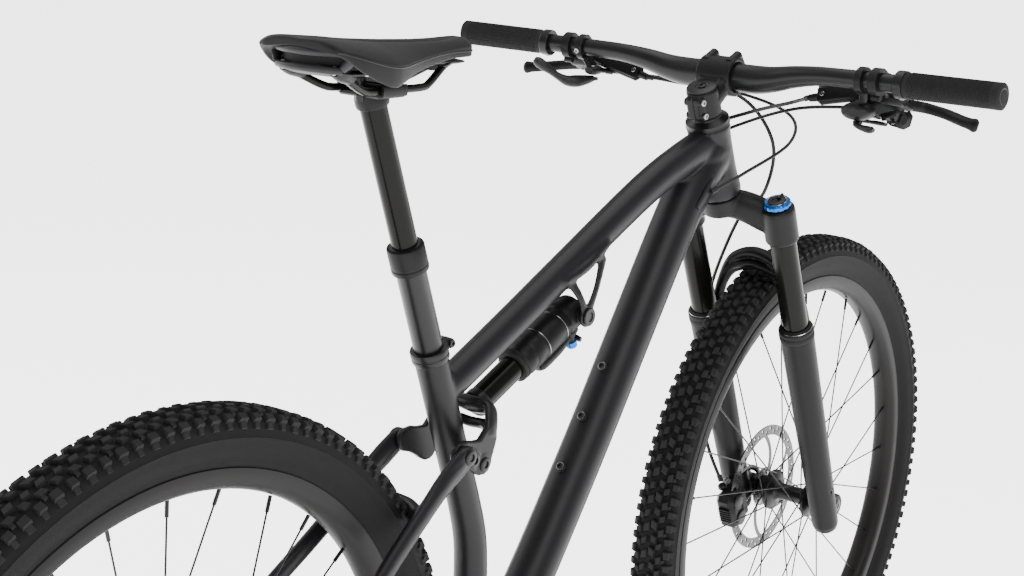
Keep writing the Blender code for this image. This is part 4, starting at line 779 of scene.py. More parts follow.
def build_saddle():
    rows = [(-0.198, 0.003, 1.038, 0.001, 0.0014, 0.0, 0.001, 2.0), (-0.1984, 0.008, 1.0412, 0.003, 0.0036,
            0.0, 0.0012, 2.2), (-0.1998, 0.0136, 1.0445, 0.0055, 0.0062, 0.0, 0.0018, 2.4),
            (-0.205, 0.019, 1.0476, 0.008, 0.008, 0.0, 0.002, 2.8), (-0.216, 0.0216, 1.0486, 0.009, 0.008,
            0.002, 0.002, 2.8), (-0.24, 0.0245, 1.0492, 0.011, 0.005, 0.007, 0.004, 2.6),
            (-0.27, 0.0302, 1.0494, 0.013, 0.004, 0.01, 0.006, 2.5), (-0.31, 0.042, 1.0496, 0.0155, 0.004,
            0.01, 0.008, 2.6), (-0.345, 0.0565, 1.0506, 0.018, 0.004, 0.009, 0.013, 2.8),
            (-0.3626, 0.0625, 1.0516, 0.0185, 0.004, 0.008, 0.0165, 3.0),
            (-0.38, 0.0635, 1.053, 0.0175, 0.004, 0.0065, 0.015, 3.6), (-0.405, 0.0612, 1.0546, 0.013, 0.004,
            0.004, 0.01, 4.6), (-0.42, 0.056, 1.0556, 0.01, 0.0036, 0.002, 0.004, 5.0),
            (-0.428, 0.049, 1.0556, 0.008, 0.0032, 0.001, 0.0012, 5.0),
            (-0.4315, 0.041, 1.0545, 0.006, 0.003, 0.0004, 0.0006, 4.0)]
    smooth_rows = curve(rows, 52)
    shape = skin([saddle_ring(*row) for row in smooth_rows])
    obj = make("saddle_skin", [(shape, COVER)], "seat", "saddle_cover", ("saddle_cover",), subdivide=1)

    under = [(-0.204, 0.01, 1.025, 1.0215), (-0.215, 0.0115, 1.0265, 1.0208), (-0.232, 0.0125, 1.028, 1.0205),
            (-0.27, 0.017, 1.0295, 1.022), (-0.31, 0.024, 1.029, 1.022), (-0.345, 0.0335, 1.0275, 1.0215),
            (-0.38, 0.04, 1.0275, 1.02), (-0.41, 0.04, 1.03, 1.0205), (-0.422, 0.031, 1.033, 1.025)]
    rings = []
    for x, half, top, low in curve(under, 30):
        ring = []
        for i in range(20):
            a = 2 * math.pi * i / 20
            ring.append(Vector((x, half * math.cos(a), (top + low) / 2 + (top - low) / 2
                    * abs(math.sin(a)) ** 0.7 * (1 if math.sin(a) > 0 else -1))))
        rings.append(ring)
    shapes = [(skin(rings), PLASTIC)]
    # piping where the cover turns under
    for side in (-1, 1):
        edge = [(x, side * half * 0.99, top - crown - rim * 0.6, 0.001) for x, half, top, crown, rim,
                *_ in smooth_rows[4:-3]]
        put(shapes, PLASTIC, tube(edge, 8))
    # stiffening ribs under the shell, and the sockets that hold the rails
    for k in range(5):
        x = -0.27 - 0.028 * k
        half = 0.016 + 0.005 * k
        put(shapes, PLASTIC, bent([(x, -half, 1.0225, 0.0016), (x - 0.003, 0, 1.0212, 0.0018),
                (x, half, 1.0225, 0.0016)], 8, 8))
    put(shapes, PLASTIC, bent([(-0.222, 0, 1.0245, 0.0085), (-0.236, 0, 1.0215, 0.0105),
            (-0.246, 0, 1.02, 0.008)], 10, 16, (1.3, 0.55)))
    for side in (-1, 1):
        put(shapes, PLASTIC, bent([(-0.392, side * 0.0285, 1.019, 0.0058),
                (-0.405, side * 0.0305, 1.025, 0.0085), (-0.414, side * 0.031, 1.029, 0.0075)], 10, 16))
        put(shapes, BOLT, lathe([(0.0044, 0.0), (0.0044, 0.0016), (0.0028, 0.0022), (0.0, 0.0022)],
                (-0.415, side * 0.031, 1.0275), (-0.9, 0, 0.1), 20))
        put(shapes, GLOSS, bent(rail_rows(side), 48, 16))
    # tail panel: grey border round an open pocket, curved like the tail
    def tail(y, z, inset=0.0):
        return Vector((-0.4305 + inset + 0.033 * (abs(y) / 0.056) ** 2.2, y, z))

    for z, wide, thick in ((1.044, 0.049, 0.0034), (1.029, 0.04, 0.0034)):
        rows = []
        for k in range(25):
            y = wide * (k / 12 - 1)
            rows.append((*tail(y, z - 0.001 * abs(k / 12 - 1) ** 3), thick))
        put(shapes, TRIM, tube(rows, 12, True, (0.75, 1.0)))
    for side in (-1, 1):
        put(shapes, TRIM, bent([(*tail(side * 0.048, 1.044), 0.004), (*tail(side * 0.045, 1.037), 0.005),
                (*tail(side * 0.0395, 1.029), 0.0036)], 12, 14, (0.8, 1.1)))
    back = [[tail(0.046 * (k / 12 - 1), z, 0.009) for k in range(25)] for z in (1.044, 1.029)]
    near = [[tail(0.046 * (k / 12 - 1), z, 0.0065) for k in range(25)] for z in (1.044, 1.029)]
    put(shapes, SEAL, skin([back[0] + near[0][::-1], back[1] + near[1][::-1]]))
    make("saddle_shell", shapes, "seat", "saddle_base", ("saddle_base",), bevel=0.0)

    inner = [(0.0133, 0.11), (0.0133, 0.281)]
    shapes = [(lathe(inner, SEAT_POINT, SEAT_UP, 48), GLOSS)]
    put(shapes, SATIN, lathe([(0.0136, 0.2795), (0.016, 0.281), (0.0166, 0.283), (0.0164, 0.29),
            (0.015, 0.295), (0.0, 0.2955)], SEAT_POINT, SEAT_UP, 40))
    turn = (Vector((1, 0, 0)), Y, UP)
    put(shapes, SATIN, box((-0.329, 0, 1.0), (0.039, 0.052, 0.0066), turn, 0.002),
            box((-0.329, 0, 1.01), (0.03, 0.053, 0.0036), turn, 0.0016))
    for side in (-1, 1):
        put(shapes, SATIN, bent([(-0.346, side * 0.0275, 1.004, 0.0036),
                (-0.312, side * 0.0275, 1.004, 0.0036)], 2, 12, (0.5, 1.6)))
    for x in (-0.3125, -0.3455):
        put(shapes, DARK_BOLT, rod((x, 0, 0.993), (x, 0, 1.0125), 0.0028),
                hexbolt((x, 0, 0.9965), (0, 0, -1), 0.0046, 0.004))
        put(shapes, ANODISED, lathe([(0.005, 0.0), (0.005, 0.003), (0.004, 0.0036), (0.0, 0.0036)],
                (x, 0, 1.0115), UP, 20))
    make("post_stanchion", shapes, "seat", "post_inner", ("post_inner",), bevel=0.0)


# ---------------------------------------------------------------- stem, bar, grips
BAR_ROWS = [(0.026, 0.3129, 0.9789, 0.0174), (0.05, 0.3129, 0.9789, 0.0174), (0.075, 0.3112, 0.982, 0.0155),
        (0.105, 0.3085, 0.9885, 0.0132), (0.14, 0.3052, 0.9932, 0.0114), (0.18, 0.3023, 0.9947, 0.0111),
        (0.192, 0.3012, 0.99486, 0.0111), (0.3745, 0.2845, 0.9973, 0.0111)]
BAR_OUT = Vector((0.2845 - 0.3023, 0.3745 - 0.18, 0.9973 - 0.9947)).normalized()


def bar_point(distance, side):
    point = Vector((0.3023, 0.18, 0.9947)) + BAR_OUT * ((distance - 0.18) / BAR_OUT.y)
    return Vector((point.x, point.y * side, point.z))


def bar_dir(side):
    return Vector((BAR_OUT.x, BAR_OUT.y * side, BAR_OUT.z))


def build_cockpit():
    half = [(x, y, z, r) for y, x, z, r in BAR_ROWS]
    rows = [(x, -y, z, r) for x, y, z, r in reversed(half)] + half
    middle = bent(rows, 120, 28)
    make("handlebar_tube", [(middle, ANODISED)], "steering", "handlebar", ("handlebar",))

    for name, side in (("grip_left", 1), ("grip_right", -1)):
        at, way = bar_point(0.245, side), bar_dir(side)
        x, y, z = axes_for(way, UP)
        shapes = [(lathe([(0.0117, 0.0), (0.0158, 0.0), (0.0165, 0.0008), (0.0165, 0.01), (0.016, 0.011),
                (0.0117, 0.011)], at, way, 40), ANODISED)]
        put(shapes, BOLT, hexbolt(at + z * 0.0055 - x * 0.0158, -x, 0.003, 0.0014))
        # knurled rubber: pads cut by grooves round and along the grip
        rings = []
        length = 216
        around = 108
        for k in range(length + 1):
            h = 0.0112 + (0.132 - 0.0112) * k / length
            ring = []
            for i in range(around):
                a = 2 * math.pi * i / around
                r = 0.015
                if 0.018 < h < 0.122:
                    third = int((a / (2 * math.pi) * 3)) % 3
                    if third == 1:
                        r += 0.0006 if (k + i) % 4 < 2 and (k - i) % 4 < 2 else 0.0001
                    elif third == 0:
                        r += 0.0006 if k % 4 < 2 else -0.0001
                    else:
                        r += 0.0006 if k % 4 < 3 and i % 4 < 3 else 0.0
                elif h >= 0.122:
                    r += 0.0006
                if k == length:
                    r -= 0.0012
                ring.append(at + z * h + x * (r * math.cos(a)) + y * (r * math.sin(a)))
            rings.append(ring)
        ring = []
        for i in range(around):
            a = 2 * math.pi * i / around
            ring.append(at + z * 0.133 + x * (0.0118 * math.cos(a)) + y * (0.0118 * math.sin(a)))
        rings.append(ring)
        put(shapes, GRIP, skin(rings))
        put(shapes, PLASTIC, lathe([(0.0, 0.1328), (0.008, 0.1329), (0.0096, 0.1334), (0.01, 0.1326)], at,
                way, 32))
        make(name + "_rubber", shapes, "steering", name, (name,), sharp=25.0)

    # stem: steerer clamp, arm and four-bolt face plate
    rows = (STEER_FWD, Y, STEER_UP)
    skin_shapes = [lathe([(0.015, 0.6355), (0.019, 0.636), (0.0196, 0.6375), (0.0196, 0.669), (0.019, 0.6712),
            (0.017, 0.6716), (0.015, 0.6716)], FOOT, STEER_UP, 48)]
    for side in (-1, 1):
        skin_shapes.append(bent([(*steer(0.654, 0.004, side * 0.0105), 0.0115),
                (*steer(0.659, 0.02, side * 0.0125), 0.011), (*steer(0.664, 0.036, side * 0.0145), 0.0125)],
                14, 16, (0.8, 1.2)))
    skin_shapes.append(box(steer(0.659, 0.022), (0.034, 0.036, 0.027), rows, 0.006))
    skin_shapes.append(box(steer(0.6538, -0.0175), (0.015, 0.024, 0.033), rows, 0.004))
    ring = lathe([(0.0183, -0.0235), (0.0228, -0.0235), (0.024, -0.022), (0.024, 0.022), (0.0228, 0.0235),
            (0.0183, 0.0235)], BAR, Y, 56, closed=True)
    skin_shapes.append(ring)
    make("stem_skin", [(s, SATIN) for s in skin_shapes], "steering", "stem", ("stem",), voxel=0.0011, melt=3)
    shapes = []
    for side in (-1, 1):
        for up in (-1, 1):
            at = BAR + STEER_FWD * 0.0165 + Y * side * 0.0165 + STEER_UP * up * 0.0195
            put(shapes, SATIN, rod(at - STEER_FWD * 0.02, at + STEER_FWD * 0.003, 0.0064, 0.006))
            put(shapes, DARK_BOLT, hexbolt(at + STEER_FWD * 0.003, STEER_FWD, 0.0044, 0.0026))
        plate_rows = [(*(BAR + STEER_FWD * 0.019 + STEER_UP * 0.02 + Y * side * 0.0165), 0.0052),
                (*(BAR + STEER_FWD * 0.025 + STEER_UP * 0.0 + Y * side * 0.0165), 0.0046),
                (*(BAR + STEER_FWD * 0.019 - STEER_UP * 0.02 + Y * side * 0.0165), 0.0052)]
        put(shapes, SATIN, bent(plate_rows, 16, 14, (1.0, 0.55)))
    put(shapes, ANODISED, lathe([(0.0186, 0.6714), (0.019, 0.6722), (0.0186, 0.6732), (0.015, 0.674),
            (0.008, 0.6742), (0.007, 0.6732), (0.0, 0.673)], FOOT, STEER_UP, 40))
    put(shapes, DARK_BOLT, hexbolt(steer(0.6732), STEER_UP, 0.005, 0.0018))
    put(shapes, SEAL, box(steer(0.6538, -0.0252), (0.0012, 0.0018, 0.033), rows, 0.0004))
    for s in (0.644, 0.662):
        put(shapes, SATIN, rod(steer(s, -0.02, -0.012), steer(s, -0.02, 0.012), 0.0052, 0.005))
        put(shapes, BOLT, hexbolt(steer(s, -0.02, -0.0118), -Y, 0.0042, 0.0024))
    spacer = [(0.0186, 0.6345), (0.019, 0.634), (0.019, 0.6326), (0.02, 0.6318), (0.027, 0.6285),
            (0.0272, 0.6236), (0.02, 0.6234)]
    put(shapes, ANODISED, lathe(spacer, FOOT, STEER_UP, 48))
    put(shapes, SATIN, lathe([(0.0186, 0.6358), (0.019, 0.6356), (0.019, 0.6344), (0.0186, 0.6342)], FOOT,
            STEER_UP, 48))
    make("stem_fittings", shapes, "steering", "stem")


def clamp_band(at, side):
    """Clamp round the bar, as on the shifter and the seat post remote."""
    return lathe([(0.0117, -0.0045), (0.0155, -0.0045), (0.016, -0.0038), (0.016, 0.0038), (0.0155, 0.0045),
            (0.0117, 0.0045)], at, bar_dir(side), 40)


def build_levers():
    for side, brake, lever in ((1, "brake_left", "lever_left"), (-1, "brake_right", "lever_right")):
        at = bar_point(0.218, side)
        shapes = [(lathe([(0.0117, -0.0055), (0.016, -0.0055), (0.0165, -0.0048), (0.0165, 0.0048),
                (0.016, 0.0055), (0.0117, 0.0055)], at, bar_dir(side), 40), SATIN)]
        low, high = Vector((0.334, side * 0.238, 0.974)), Vector((0.338, side * 0.13, 0.977))
        way = (high - low).normalized()
        put(shapes, SATIN, lathe([(0.0, 0.0), (0.0068, 0.0), (0.0085, 0.003), (0.0085, 0.028),
                (0.0078, 0.032), (0.0078, 0.086), (0.0084, 0.089), (0.0084, 0.102), (0.006, 0.105),
                (0.0056, 0.108), (0.0, 0.108)], low, way, 28))
        put(shapes, ANODISED, lathe([(0.0042, 0.106), (0.0048, 0.1064), (0.0048, 0.11), (0.0034, 0.112),
                (0.003, 0.115), (0.0, 0.115)], low, way, 6))
        # reservoir with its lid, running along the cylinder
        long = Vector((0.077, side * 1.0, 0.215)).normalized()
        face = Vector((-0.86, 0.0, 0.51))
        face = (face - long * face.dot(long)).normalized()
        rows = (face.cross(long), long, face)
        lid = Vector((0.3255, side * 0.164, 0.977))
        put(shapes, SATIN, box(lid - face * 0.008, (0.02, 0.078, 0.013), rows, 0.0048),
                box(lid - face * 0.0008, (0.0186, 0.074, 0.0024), rows, 0.0011))
        for k in (-1, 1):
            put(shapes, BOLT, hexbolt(lid + long * k * 0.03, face, 0.0032, 0.0016))
        barb = lid - face * 0.007 - long * 0.038
        put(shapes, SATIN, rod(barb, barb - long * 0.011, 0.0052, 0.0046, 12))
        # hinged clamp bridge between body and bar
        put(shapes, SATIN, bent([(at.x + 0.008, at.y, at.z - 0.004, 0.0075),
                (0.322, side * 0.218, 0.986, 0.0068), (0.334, side * 0.216, 0.979, 0.0078)], 14, 18,
                (0.85, 1.1)))
        for dx, dz in ((0.0185, 0.006), (-0.001, -0.018)):
            spot = at + Vector((dx, 0, dz))
            put(shapes, SATIN, rod(spot - Y * 0.0055, spot + Y * 0.0055, 0.004, sides=20))
            put(shapes, BOLT, hexbolt(spot + Vector((0.0015, 0, 0.002)), (0.6, 0, 0.8), 0.0032, 0.0018))
        # fork that carries the blade's pivot pin
        for k in (-1, 1):
            put(shapes, SATIN, bent([(0.335, side * 0.228, 0.9725 + k * 0.003, 0.006),
                    (0.347, side * 0.233, 0.969 + k * 0.0058, 0.0062), (0.353, side * 0.234,
                    0.9672 + k * 0.0062, 0.0048)], 12, 14, (1.3, 0.36)))
        put(shapes, BOLT, rod((0.35, side * 0.232, 0.959), (0.35, side * 0.232, 0.9745), 0.0026, sides=16))
        make(brake + "_body", shapes, "steering", brake, (brake,), bevel=0.0)

        blade = [(0.348, side * 0.229, 0.9668, 0.0042), (0.356, side * 0.235, 0.966, 0.0046),
                (0.369, side * 0.246, 0.964, 0.0046), (0.3685, side * 0.262, 0.962, 0.0044),
                (0.365, side * 0.278, 0.9598, 0.0045), (0.359, side * 0.292, 0.9575, 0.0046),
                (0.353, side * 0.304, 0.9558, 0.0046), (0.349, side * 0.314, 0.9545, 0.0048),
                (0.3475, side * 0.3215, 0.9534, 0.0056), (0.348, side * 0.325, 0.9528, 0.0036)]
        shapes = [(bent(blade, 70, 20, (0.75, 1.45)), SATIN)]
        put(shapes, SATIN, lathe([(0.0055, -0.0044), (0.006, -0.0038), (0.006, 0.0038), (0.0055, 0.0044),
                (0.0, 0.0044)], (0.35, side * 0.232, 0.9667), UP, 28))
        for k in range(3):
            f = 0.27 + 0.01 * k
            x = 0.3665 - (f - 0.27) * 0.35
            put(shapes, DARK_BOLT, rod((x - 0.0012, side * f, 0.9578 - k * 0.0017),
                    (x + 0.0012, side * f, 0.9655 - k * 0.0017), 0.0017, sides=12))
        make(lever + "_blade", shapes, "brake_" + lever, lever, (lever,))

    at = bar_point(0.198, -1)
    shapes = [(clamp_band(at, -1), SATIN)]
    put(shapes, SATIN, bent([(at.x + 0.004, at.y, at.z - 0.01, 0.0066), (0.3085, -0.1965, 0.974, 0.0064),
            (0.311, -0.193, 0.965, 0.0074)], 12, 16, (0.8, 1.15)))
    housing = [(0.293, -0.192, 0.957, 0.009), (0.2995, -0.1912, 0.9572, 0.0175),
            (0.312, -0.19, 0.9575, 0.0205), (0.324, -0.188, 0.9572, 0.018), (0.333, -0.184, 0.9572, 0.011),
            (0.3345, -0.182, 0.9574, 0.0065)]
    put(shapes, PLASTIC, bent(housing, 30, 28, (1.0, 0.54)))
    put(shapes, SATIN, lathe([(0.014, 0.949), (0.0146, 0.95), (0.0146, 0.953), (0.0138, 0.954),
            (0.0, 0.9542)], (0.312, -0.19, 0.0), UP, 36), lathe([(0.01, 0.9655), (0.0104, 0.9662),
            (0.0096, 0.9668), (0.005, 0.9669), (0.0, 0.9669)], (0.312, -0.1895, 0.0), UP, 32))
    put(shapes, BOLT, hexbolt((0.312, -0.1895, 0.9664), UP, 0.0036, 0.0012))
    put(shapes, ANODISED, rod((0.33, -0.176, 0.9578), (0.3345, -0.164, 0.9582), 0.0038, 0.003, 16))
    for k in range(4):
        f = k / 3.0
        p = Vector((0.33, -0.176, 0.9578)).lerp(Vector((0.334, -0.1655, 0.9581)), f)
        put(shapes, ANODISED, lathe([(0.004, -0.0006), (0.0044, 0.0), (0.004, 0.0006)], p,
                (0.0045, 0.012, 0.0004), 16))
    # cable winder behind the pod: chamfered blocks, ribs, caps and screws on a slanted axis
    along = Vector((0.45, -0.87, -0.19)).normalized()
    rise = (UP - along * along.z).normalized()
    turn = (along, rise.cross(along), rise)
    core = Vector((0.356, -0.196, 0.957))

    def spot(a, b, c):
        return core + turn[0] * a + turn[1] * b + turn[2] * c

    for a, b, c, size, chamfer, finish in ((0.0, 0.0, 0.0, (0.05, 0.024, 0.019), 0.005, PLASTIC),
            (-0.012, 0.006, 0.008, (0.024, 0.02, 0.012), 0.003, SATIN),
            (0.004, -0.002, 0.0102, (0.03, 0.015, 0.004), 0.0014, ANODISED),
            (0.03, 0.004, -0.004, (0.02, 0.027, 0.024), 0.006, SATIN), (0.031, 0.017, -0.005,
            (0.013, 0.006, 0.015), 0.002, ANODISED), (0.016, 0.012, -0.008, (0.008, 0.009, 0.015), 0.002,
            PLASTIC)):
        shapes.append((box(spot(a, b, c), size, turn, chamfer), finish))
    for k in range(5):
        put(shapes, SATIN, box(spot(-0.018 + 0.007 * k, 0.0128, 0.0), (0.0018, 0.003, 0.015), turn))
    for a, b, c, r in ((-0.002, 0.004, -0.012, 0.0085), (0.022, 0.006, -0.016, 0.007)):
        put(shapes, GLOSS, lathe([(r * 0.9, 0.01), (r, 0.008), (r, 0.001), (r * 0.8, 0.0), (0.0, 0.0)],
                spot(a, b, c), turn[2], 28))
    for a, b, c in ((-0.016, 0.0165, 0.009), (0.03, 0.0205, 0.001), (0.006, 0.013, 0.009)):
        put(shapes, DARK_BOLT, hexbolt(spot(a, b, c), turn[1], 0.0026, 0.0012))
    put(shapes, SATIN, rod((0.353, -0.226, 0.964), (0.3415, -0.223, 0.9712), 0.0058, 0.0052, 20))
    put(shapes, BOLT, hexbolt((0.3418, -0.2231, 0.971), (-0.84, 0.22, 0.5), 0.004, 0.0016))
    for at, way, r in (((0.35, -0.186, 0.969), (-0.3, 0.2, 0.93), 0.0105),
            ((0.356, -0.206, 0.956), (-0.8, -0.2, 0.55), 0.012)):
        put(shapes, SATIN, lathe([(r, -0.002), (r, 0.0042), (r - 0.0012, 0.0056), (r * 0.45, 0.006),
                (r * 0.35, 0.0048), (0.0, 0.0048)], at, way, 32))
    for k in range(3):
        put(shapes, SATIN, bent([(0.344 + 0.006 * k, -0.192 - 0.01 * k, 0.962 - 0.0045 * k, 0.0022),
                (0.342 + 0.006 * k, -0.196 - 0.01 * k, 0.948 - 0.003 * k, 0.0024)], 6, 10))
    make("shifter_case", shapes, "steering", "shifter", ("shifter",))
    paddle = [(0.313, -0.1895, 0.944, 0.003), (0.305, -0.192, 0.9436, 0.0038),
            (0.296, -0.1965, 0.943, 0.0042), (0.288, -0.205, 0.9424, 0.005), (0.2835, -0.214, 0.9419, 0.0062),
            (0.2805, -0.222, 0.9416, 0.0066), (0.28, -0.2265, 0.9415, 0.004)]
    shapes = [(bent(paddle, 36, 18, (1.0, 0.62)), PLASTIC)]
    put(shapes, DARK_BOLT, lathe([(0.005, -0.002), (0.0058, -0.0014), (0.0058, 0.0014), (0.005, 0.002),
            (0.0, 0.002)], (0.313, -0.1895, 0.944), UP, 24))
    for k in range(5):
        f = -0.213 - 0.0028 * k
        put(shapes, SEAL, rod((0.2842 - k * 0.0007, f, 0.945), (0.28 - k * 0.0007, f - 0.001, 0.9448), 0.0008,
                sides=8))
    make("shift_paddle_arm", shapes, "shift_paddle", "shift_paddle", ("shift_paddle",))
    trigger = [(0.327, -0.181, 0.944, 0.0026), (0.334, -0.188, 0.9434, 0.0034),
            (0.3385, -0.197, 0.943, 0.004), (0.3385, -0.206, 0.9427, 0.0044), (0.336, -0.215, 0.9425, 0.0034)]
    shapes = [(bent(trigger, 26, 18, (1.0, 0.62)), PLASTIC)]
    make("release_trigger_arm", shapes, "release_trigger", "release_trigger", ("release_trigger",))

    at = bar_point(0.198, 1)
    shapes = [(clamp_band(at, 1), SATIN)]
    put(shapes, BOLT, hexbolt(at + Vector((-0.0148, 0, -0.004)), (-1, 0, -0.3), 0.0034, 0.0022))
    put(shapes, SATIN, bent([(at.x + 0.003, at.y, at.z - 0.011, 0.0056), (0.3105, 0.196, 0.9765, 0.0058),
            (0.313, 0.1925, 0.969, 0.007)], 12, 16, (0.8, 1.2)))
    put(shapes, PLASTIC, bent([(0.3035, 0.1905, 0.965, 0.007), (0.309, 0.19, 0.965, 0.0092),
            (0.317, 0.19, 0.965, 0.0098), (0.324, 0.188, 0.965, 0.0078), (0.327, 0.185, 0.9648, 0.0048)], 24,
            24, (1.0, 0.62)))
    put(shapes, ANODISED, rod((0.3255, 0.185, 0.9648), (0.3285, 0.1765, 0.9644), 0.0036, 0.0028, 16))
    put(shapes, BOLT, hexbolt((0.312, 0.19, 0.9702), UP, 0.004, 0.0014))
    make("dropper_remote_case", shapes, "steering", "dropper_remote", ("dropper_remote",))
    paddle = [(0.313, 0.1895, 0.9548, 0.006), (0.302, 0.194, 0.953, 0.01), (0.29, 0.2, 0.9515, 0.0125),
            (0.28, 0.207, 0.952, 0.0108), (0.273, 0.216, 0.957, 0.0078), (0.268, 0.224, 0.963, 0.008),
            (0.263, 0.232, 0.969, 0.0104), (0.259, 0.239, 0.974, 0.0104), (0.257, 0.243, 0.9765, 0.006)]
    shapes = [(bent(paddle, 50, 22, (0.8, 0.62)), PLASTIC)]
    put(shapes, DARK_BOLT, lathe([(0.0058, -0.002), (0.0066, -0.0014), (0.0066, 0.0014), (0.0058, 0.002),
            (0.0, 0.002)], (0.313, 0.1895, 0.9545), UP, 24))
    make("dropper_paddle_arm", shapes, "dropper_paddle", "dropper_paddle", ("dropper_paddle",))


# ---------------------------------------------------------------- fork
def build_fork():
    skin_shapes = [lathe([(0.015, 0.4985), (0.0236, 0.499), (0.0248, 0.502), (0.0262, 0.515), (0.0268, 0.522),
            (0.0255, 0.5231), (0.015, 0.5231)], FOOT, STEER_UP, 48)]
    for side in (-1, 1):
        skin_shapes.append(bent([(*steer(0.509, 0.0, side * 0.004), 0.018),
                (*steer(0.5078, 0.004, side * 0.02), 0.019), (*steer(0.5, 0.01, side * 0.036), 0.02),
                (*steer(0.487, 0.017, side * 0.054), 0.0205), (*steer(0.482, 0.02, side * 0.069), 0.021)], 26,
                24, (1.0, 0.74)))
        skin_shapes.append(lathe([(0.0182, 0.4546), (0.0208, 0.4546), (0.0215, 0.456), (0.0217, 0.496),
                (0.021, 0.501), (0.0196, 0.503), (0.014, 0.5033), (0.006, 0.5033), (0.006, 0.49),
                (0.014, 0.486), (0.0182, 0.482)], leg(side), STEER_UP, 48, closed=True))
    make("crown_skin", [(s, SATIN) for s in skin_shapes], "steering", "fork_crown", ("fork_crown",),
            voxel=0.0014, melt=4)
    left_top = leg(1)
    shapes = [(lathe([(0.019, 0.503), (0.019, 0.5052), (0.018, 0.5068), (0.011, 0.5074), (0.009, 0.5064),
            (0.0, 0.5064)], left_top, STEER_UP, 40), ANODISED), (lathe([(0.006, 0.5064), (0.006, 0.5092),
            (0.0048, 0.51), (0.0, 0.51)], left_top, STEER_UP, 24), BOLT)]
    make("air_cap", shapes, "steering", "fork_crown")
    rings = []
    dial = leg(-1)
    for radius, s, cut in ((0.0145, 0.5039, 0), (0.0172, 0.5044, 1), (0.0175, 0.5056, 1), (0.0175, 0.509, 1),
            (0.0168, 0.5102, 1), (0.015, 0.5114, 0), (0.011, 0.5112, 0), (0.0065, 0.5076, 0),
            (0.0, 0.5072, 0)):
        ring = []
        for i in range(72):
            a = 2 * math.pi * i / 72
            r = max(0.00005, radius - (0.0006 if cut and i % 6 in (0, 1) else 0.0))
            ring.append(dial + STEER_UP * s + STEER_FWD * (r * math.cos(a)) + Y * (r * math.sin(a)))
        rings.append(ring)
    centre_cap = [(0.0112, 0.5078), (0.0118, 0.5108), (0.0112, 0.512), (0.006, 0.5124), (0.0052, 0.5112),
            (0.0, 0.511)]
    shapes = [(skin(rings), BLUE), (lathe(centre_cap, dial, STEER_UP, 40), ANODISED),
            (bent([(*(dial + STEER_UP * 0.512 + STEER_FWD * 0.004), 0.0018),
            (*(dial + STEER_UP * 0.5118 + STEER_FWD * 0.015), 0.0022)], 4, 12), ANODISED),
            (lathe([(0.0126, 0.511), (0.0131, 0.5116), (0.0126, 0.512), (0.0121, 0.5116)], dial, STEER_UP, 48,
            closed=True), BRIGHT)]
    make("compression_dial", shapes, "fork_dial", "fork_dial", ("fork_dial",), bevel=0.0)
    for name, side in (("stanchion_left", 1), ("stanchion_right", -1)):
        at = leg(side)
        make(name + "_tube", [(lathe([(0.015, 0.18), (0.0165, 0.1802), (0.017, 0.1812), (0.017, 0.28),
                (0.017, 0.38), (0.017, 0.4797)], at, STEER_UP, 56), GLOSS)], "steering", name, (name,))

    skin_shapes = []
    for side in (-1, 1):
        at = leg(side)
        skin_shapes.append(lathe([(0.0176, 0.306), (0.0222, 0.3075), (0.0226, 0.304), (0.0222, 0.295),
                (0.0218, 0.25), (0.0208, 0.16), (0.0196, 0.07), (0.0188, 0.01), (0.0184, -0.012),
                (0.016, -0.02), (0.012, -0.0238), (0.0, -0.0246), (0.0, 0.04), (0.0176, 0.046)], at, STEER_UP,
                48, closed=True))
        skin_shapes.append(rod(steer(0.0, 0.044, side * 0.0554), steer(0.0, 0.044, side * 0.0768), 0.0163,
                sides=36))
        skin_shapes.append(bent([(*steer(0.04, 0.024, side * 0.068), 0.012),
                (*steer(0.016, 0.034, side * 0.0665), 0.015), (*steer(-0.004, 0.042, side * 0.066), 0.013)],
                14, 20, (0.75, 1.15)))
        skin_shapes.append(bent([(*steer(0.24, 0.0345, side * 0.07), 0.006),
                (*steer(0.272, 0.0385, side * 0.069), 0.0085), (*steer(0.316, 0.048, side * 0.065), 0.0088),
                (*steer(0.35, 0.054, side * 0.055), 0.0088), (*steer(0.382, 0.056, side * 0.038), 0.0086),
                (*steer(0.396, 0.0565, side * 0.018), 0.0084), (*steer(0.4, 0.057, 0.0), 0.0084)], 60, 20,
                (0.72, 1.15)))
        # second rib of the arch behind the first, leaving a pocket between them
        skin_shapes.append(bent([(*steer(0.285, 0.028, side * 0.066), 0.006),
                (*steer(0.325, 0.047, side * 0.059), 0.0046), (*steer(0.352, 0.051, side * 0.048), 0.0046),
                (*steer(0.371, 0.052, side * 0.03), 0.0046), (*steer(0.38, 0.053, 0.0), 0.0046)], 40, 14))
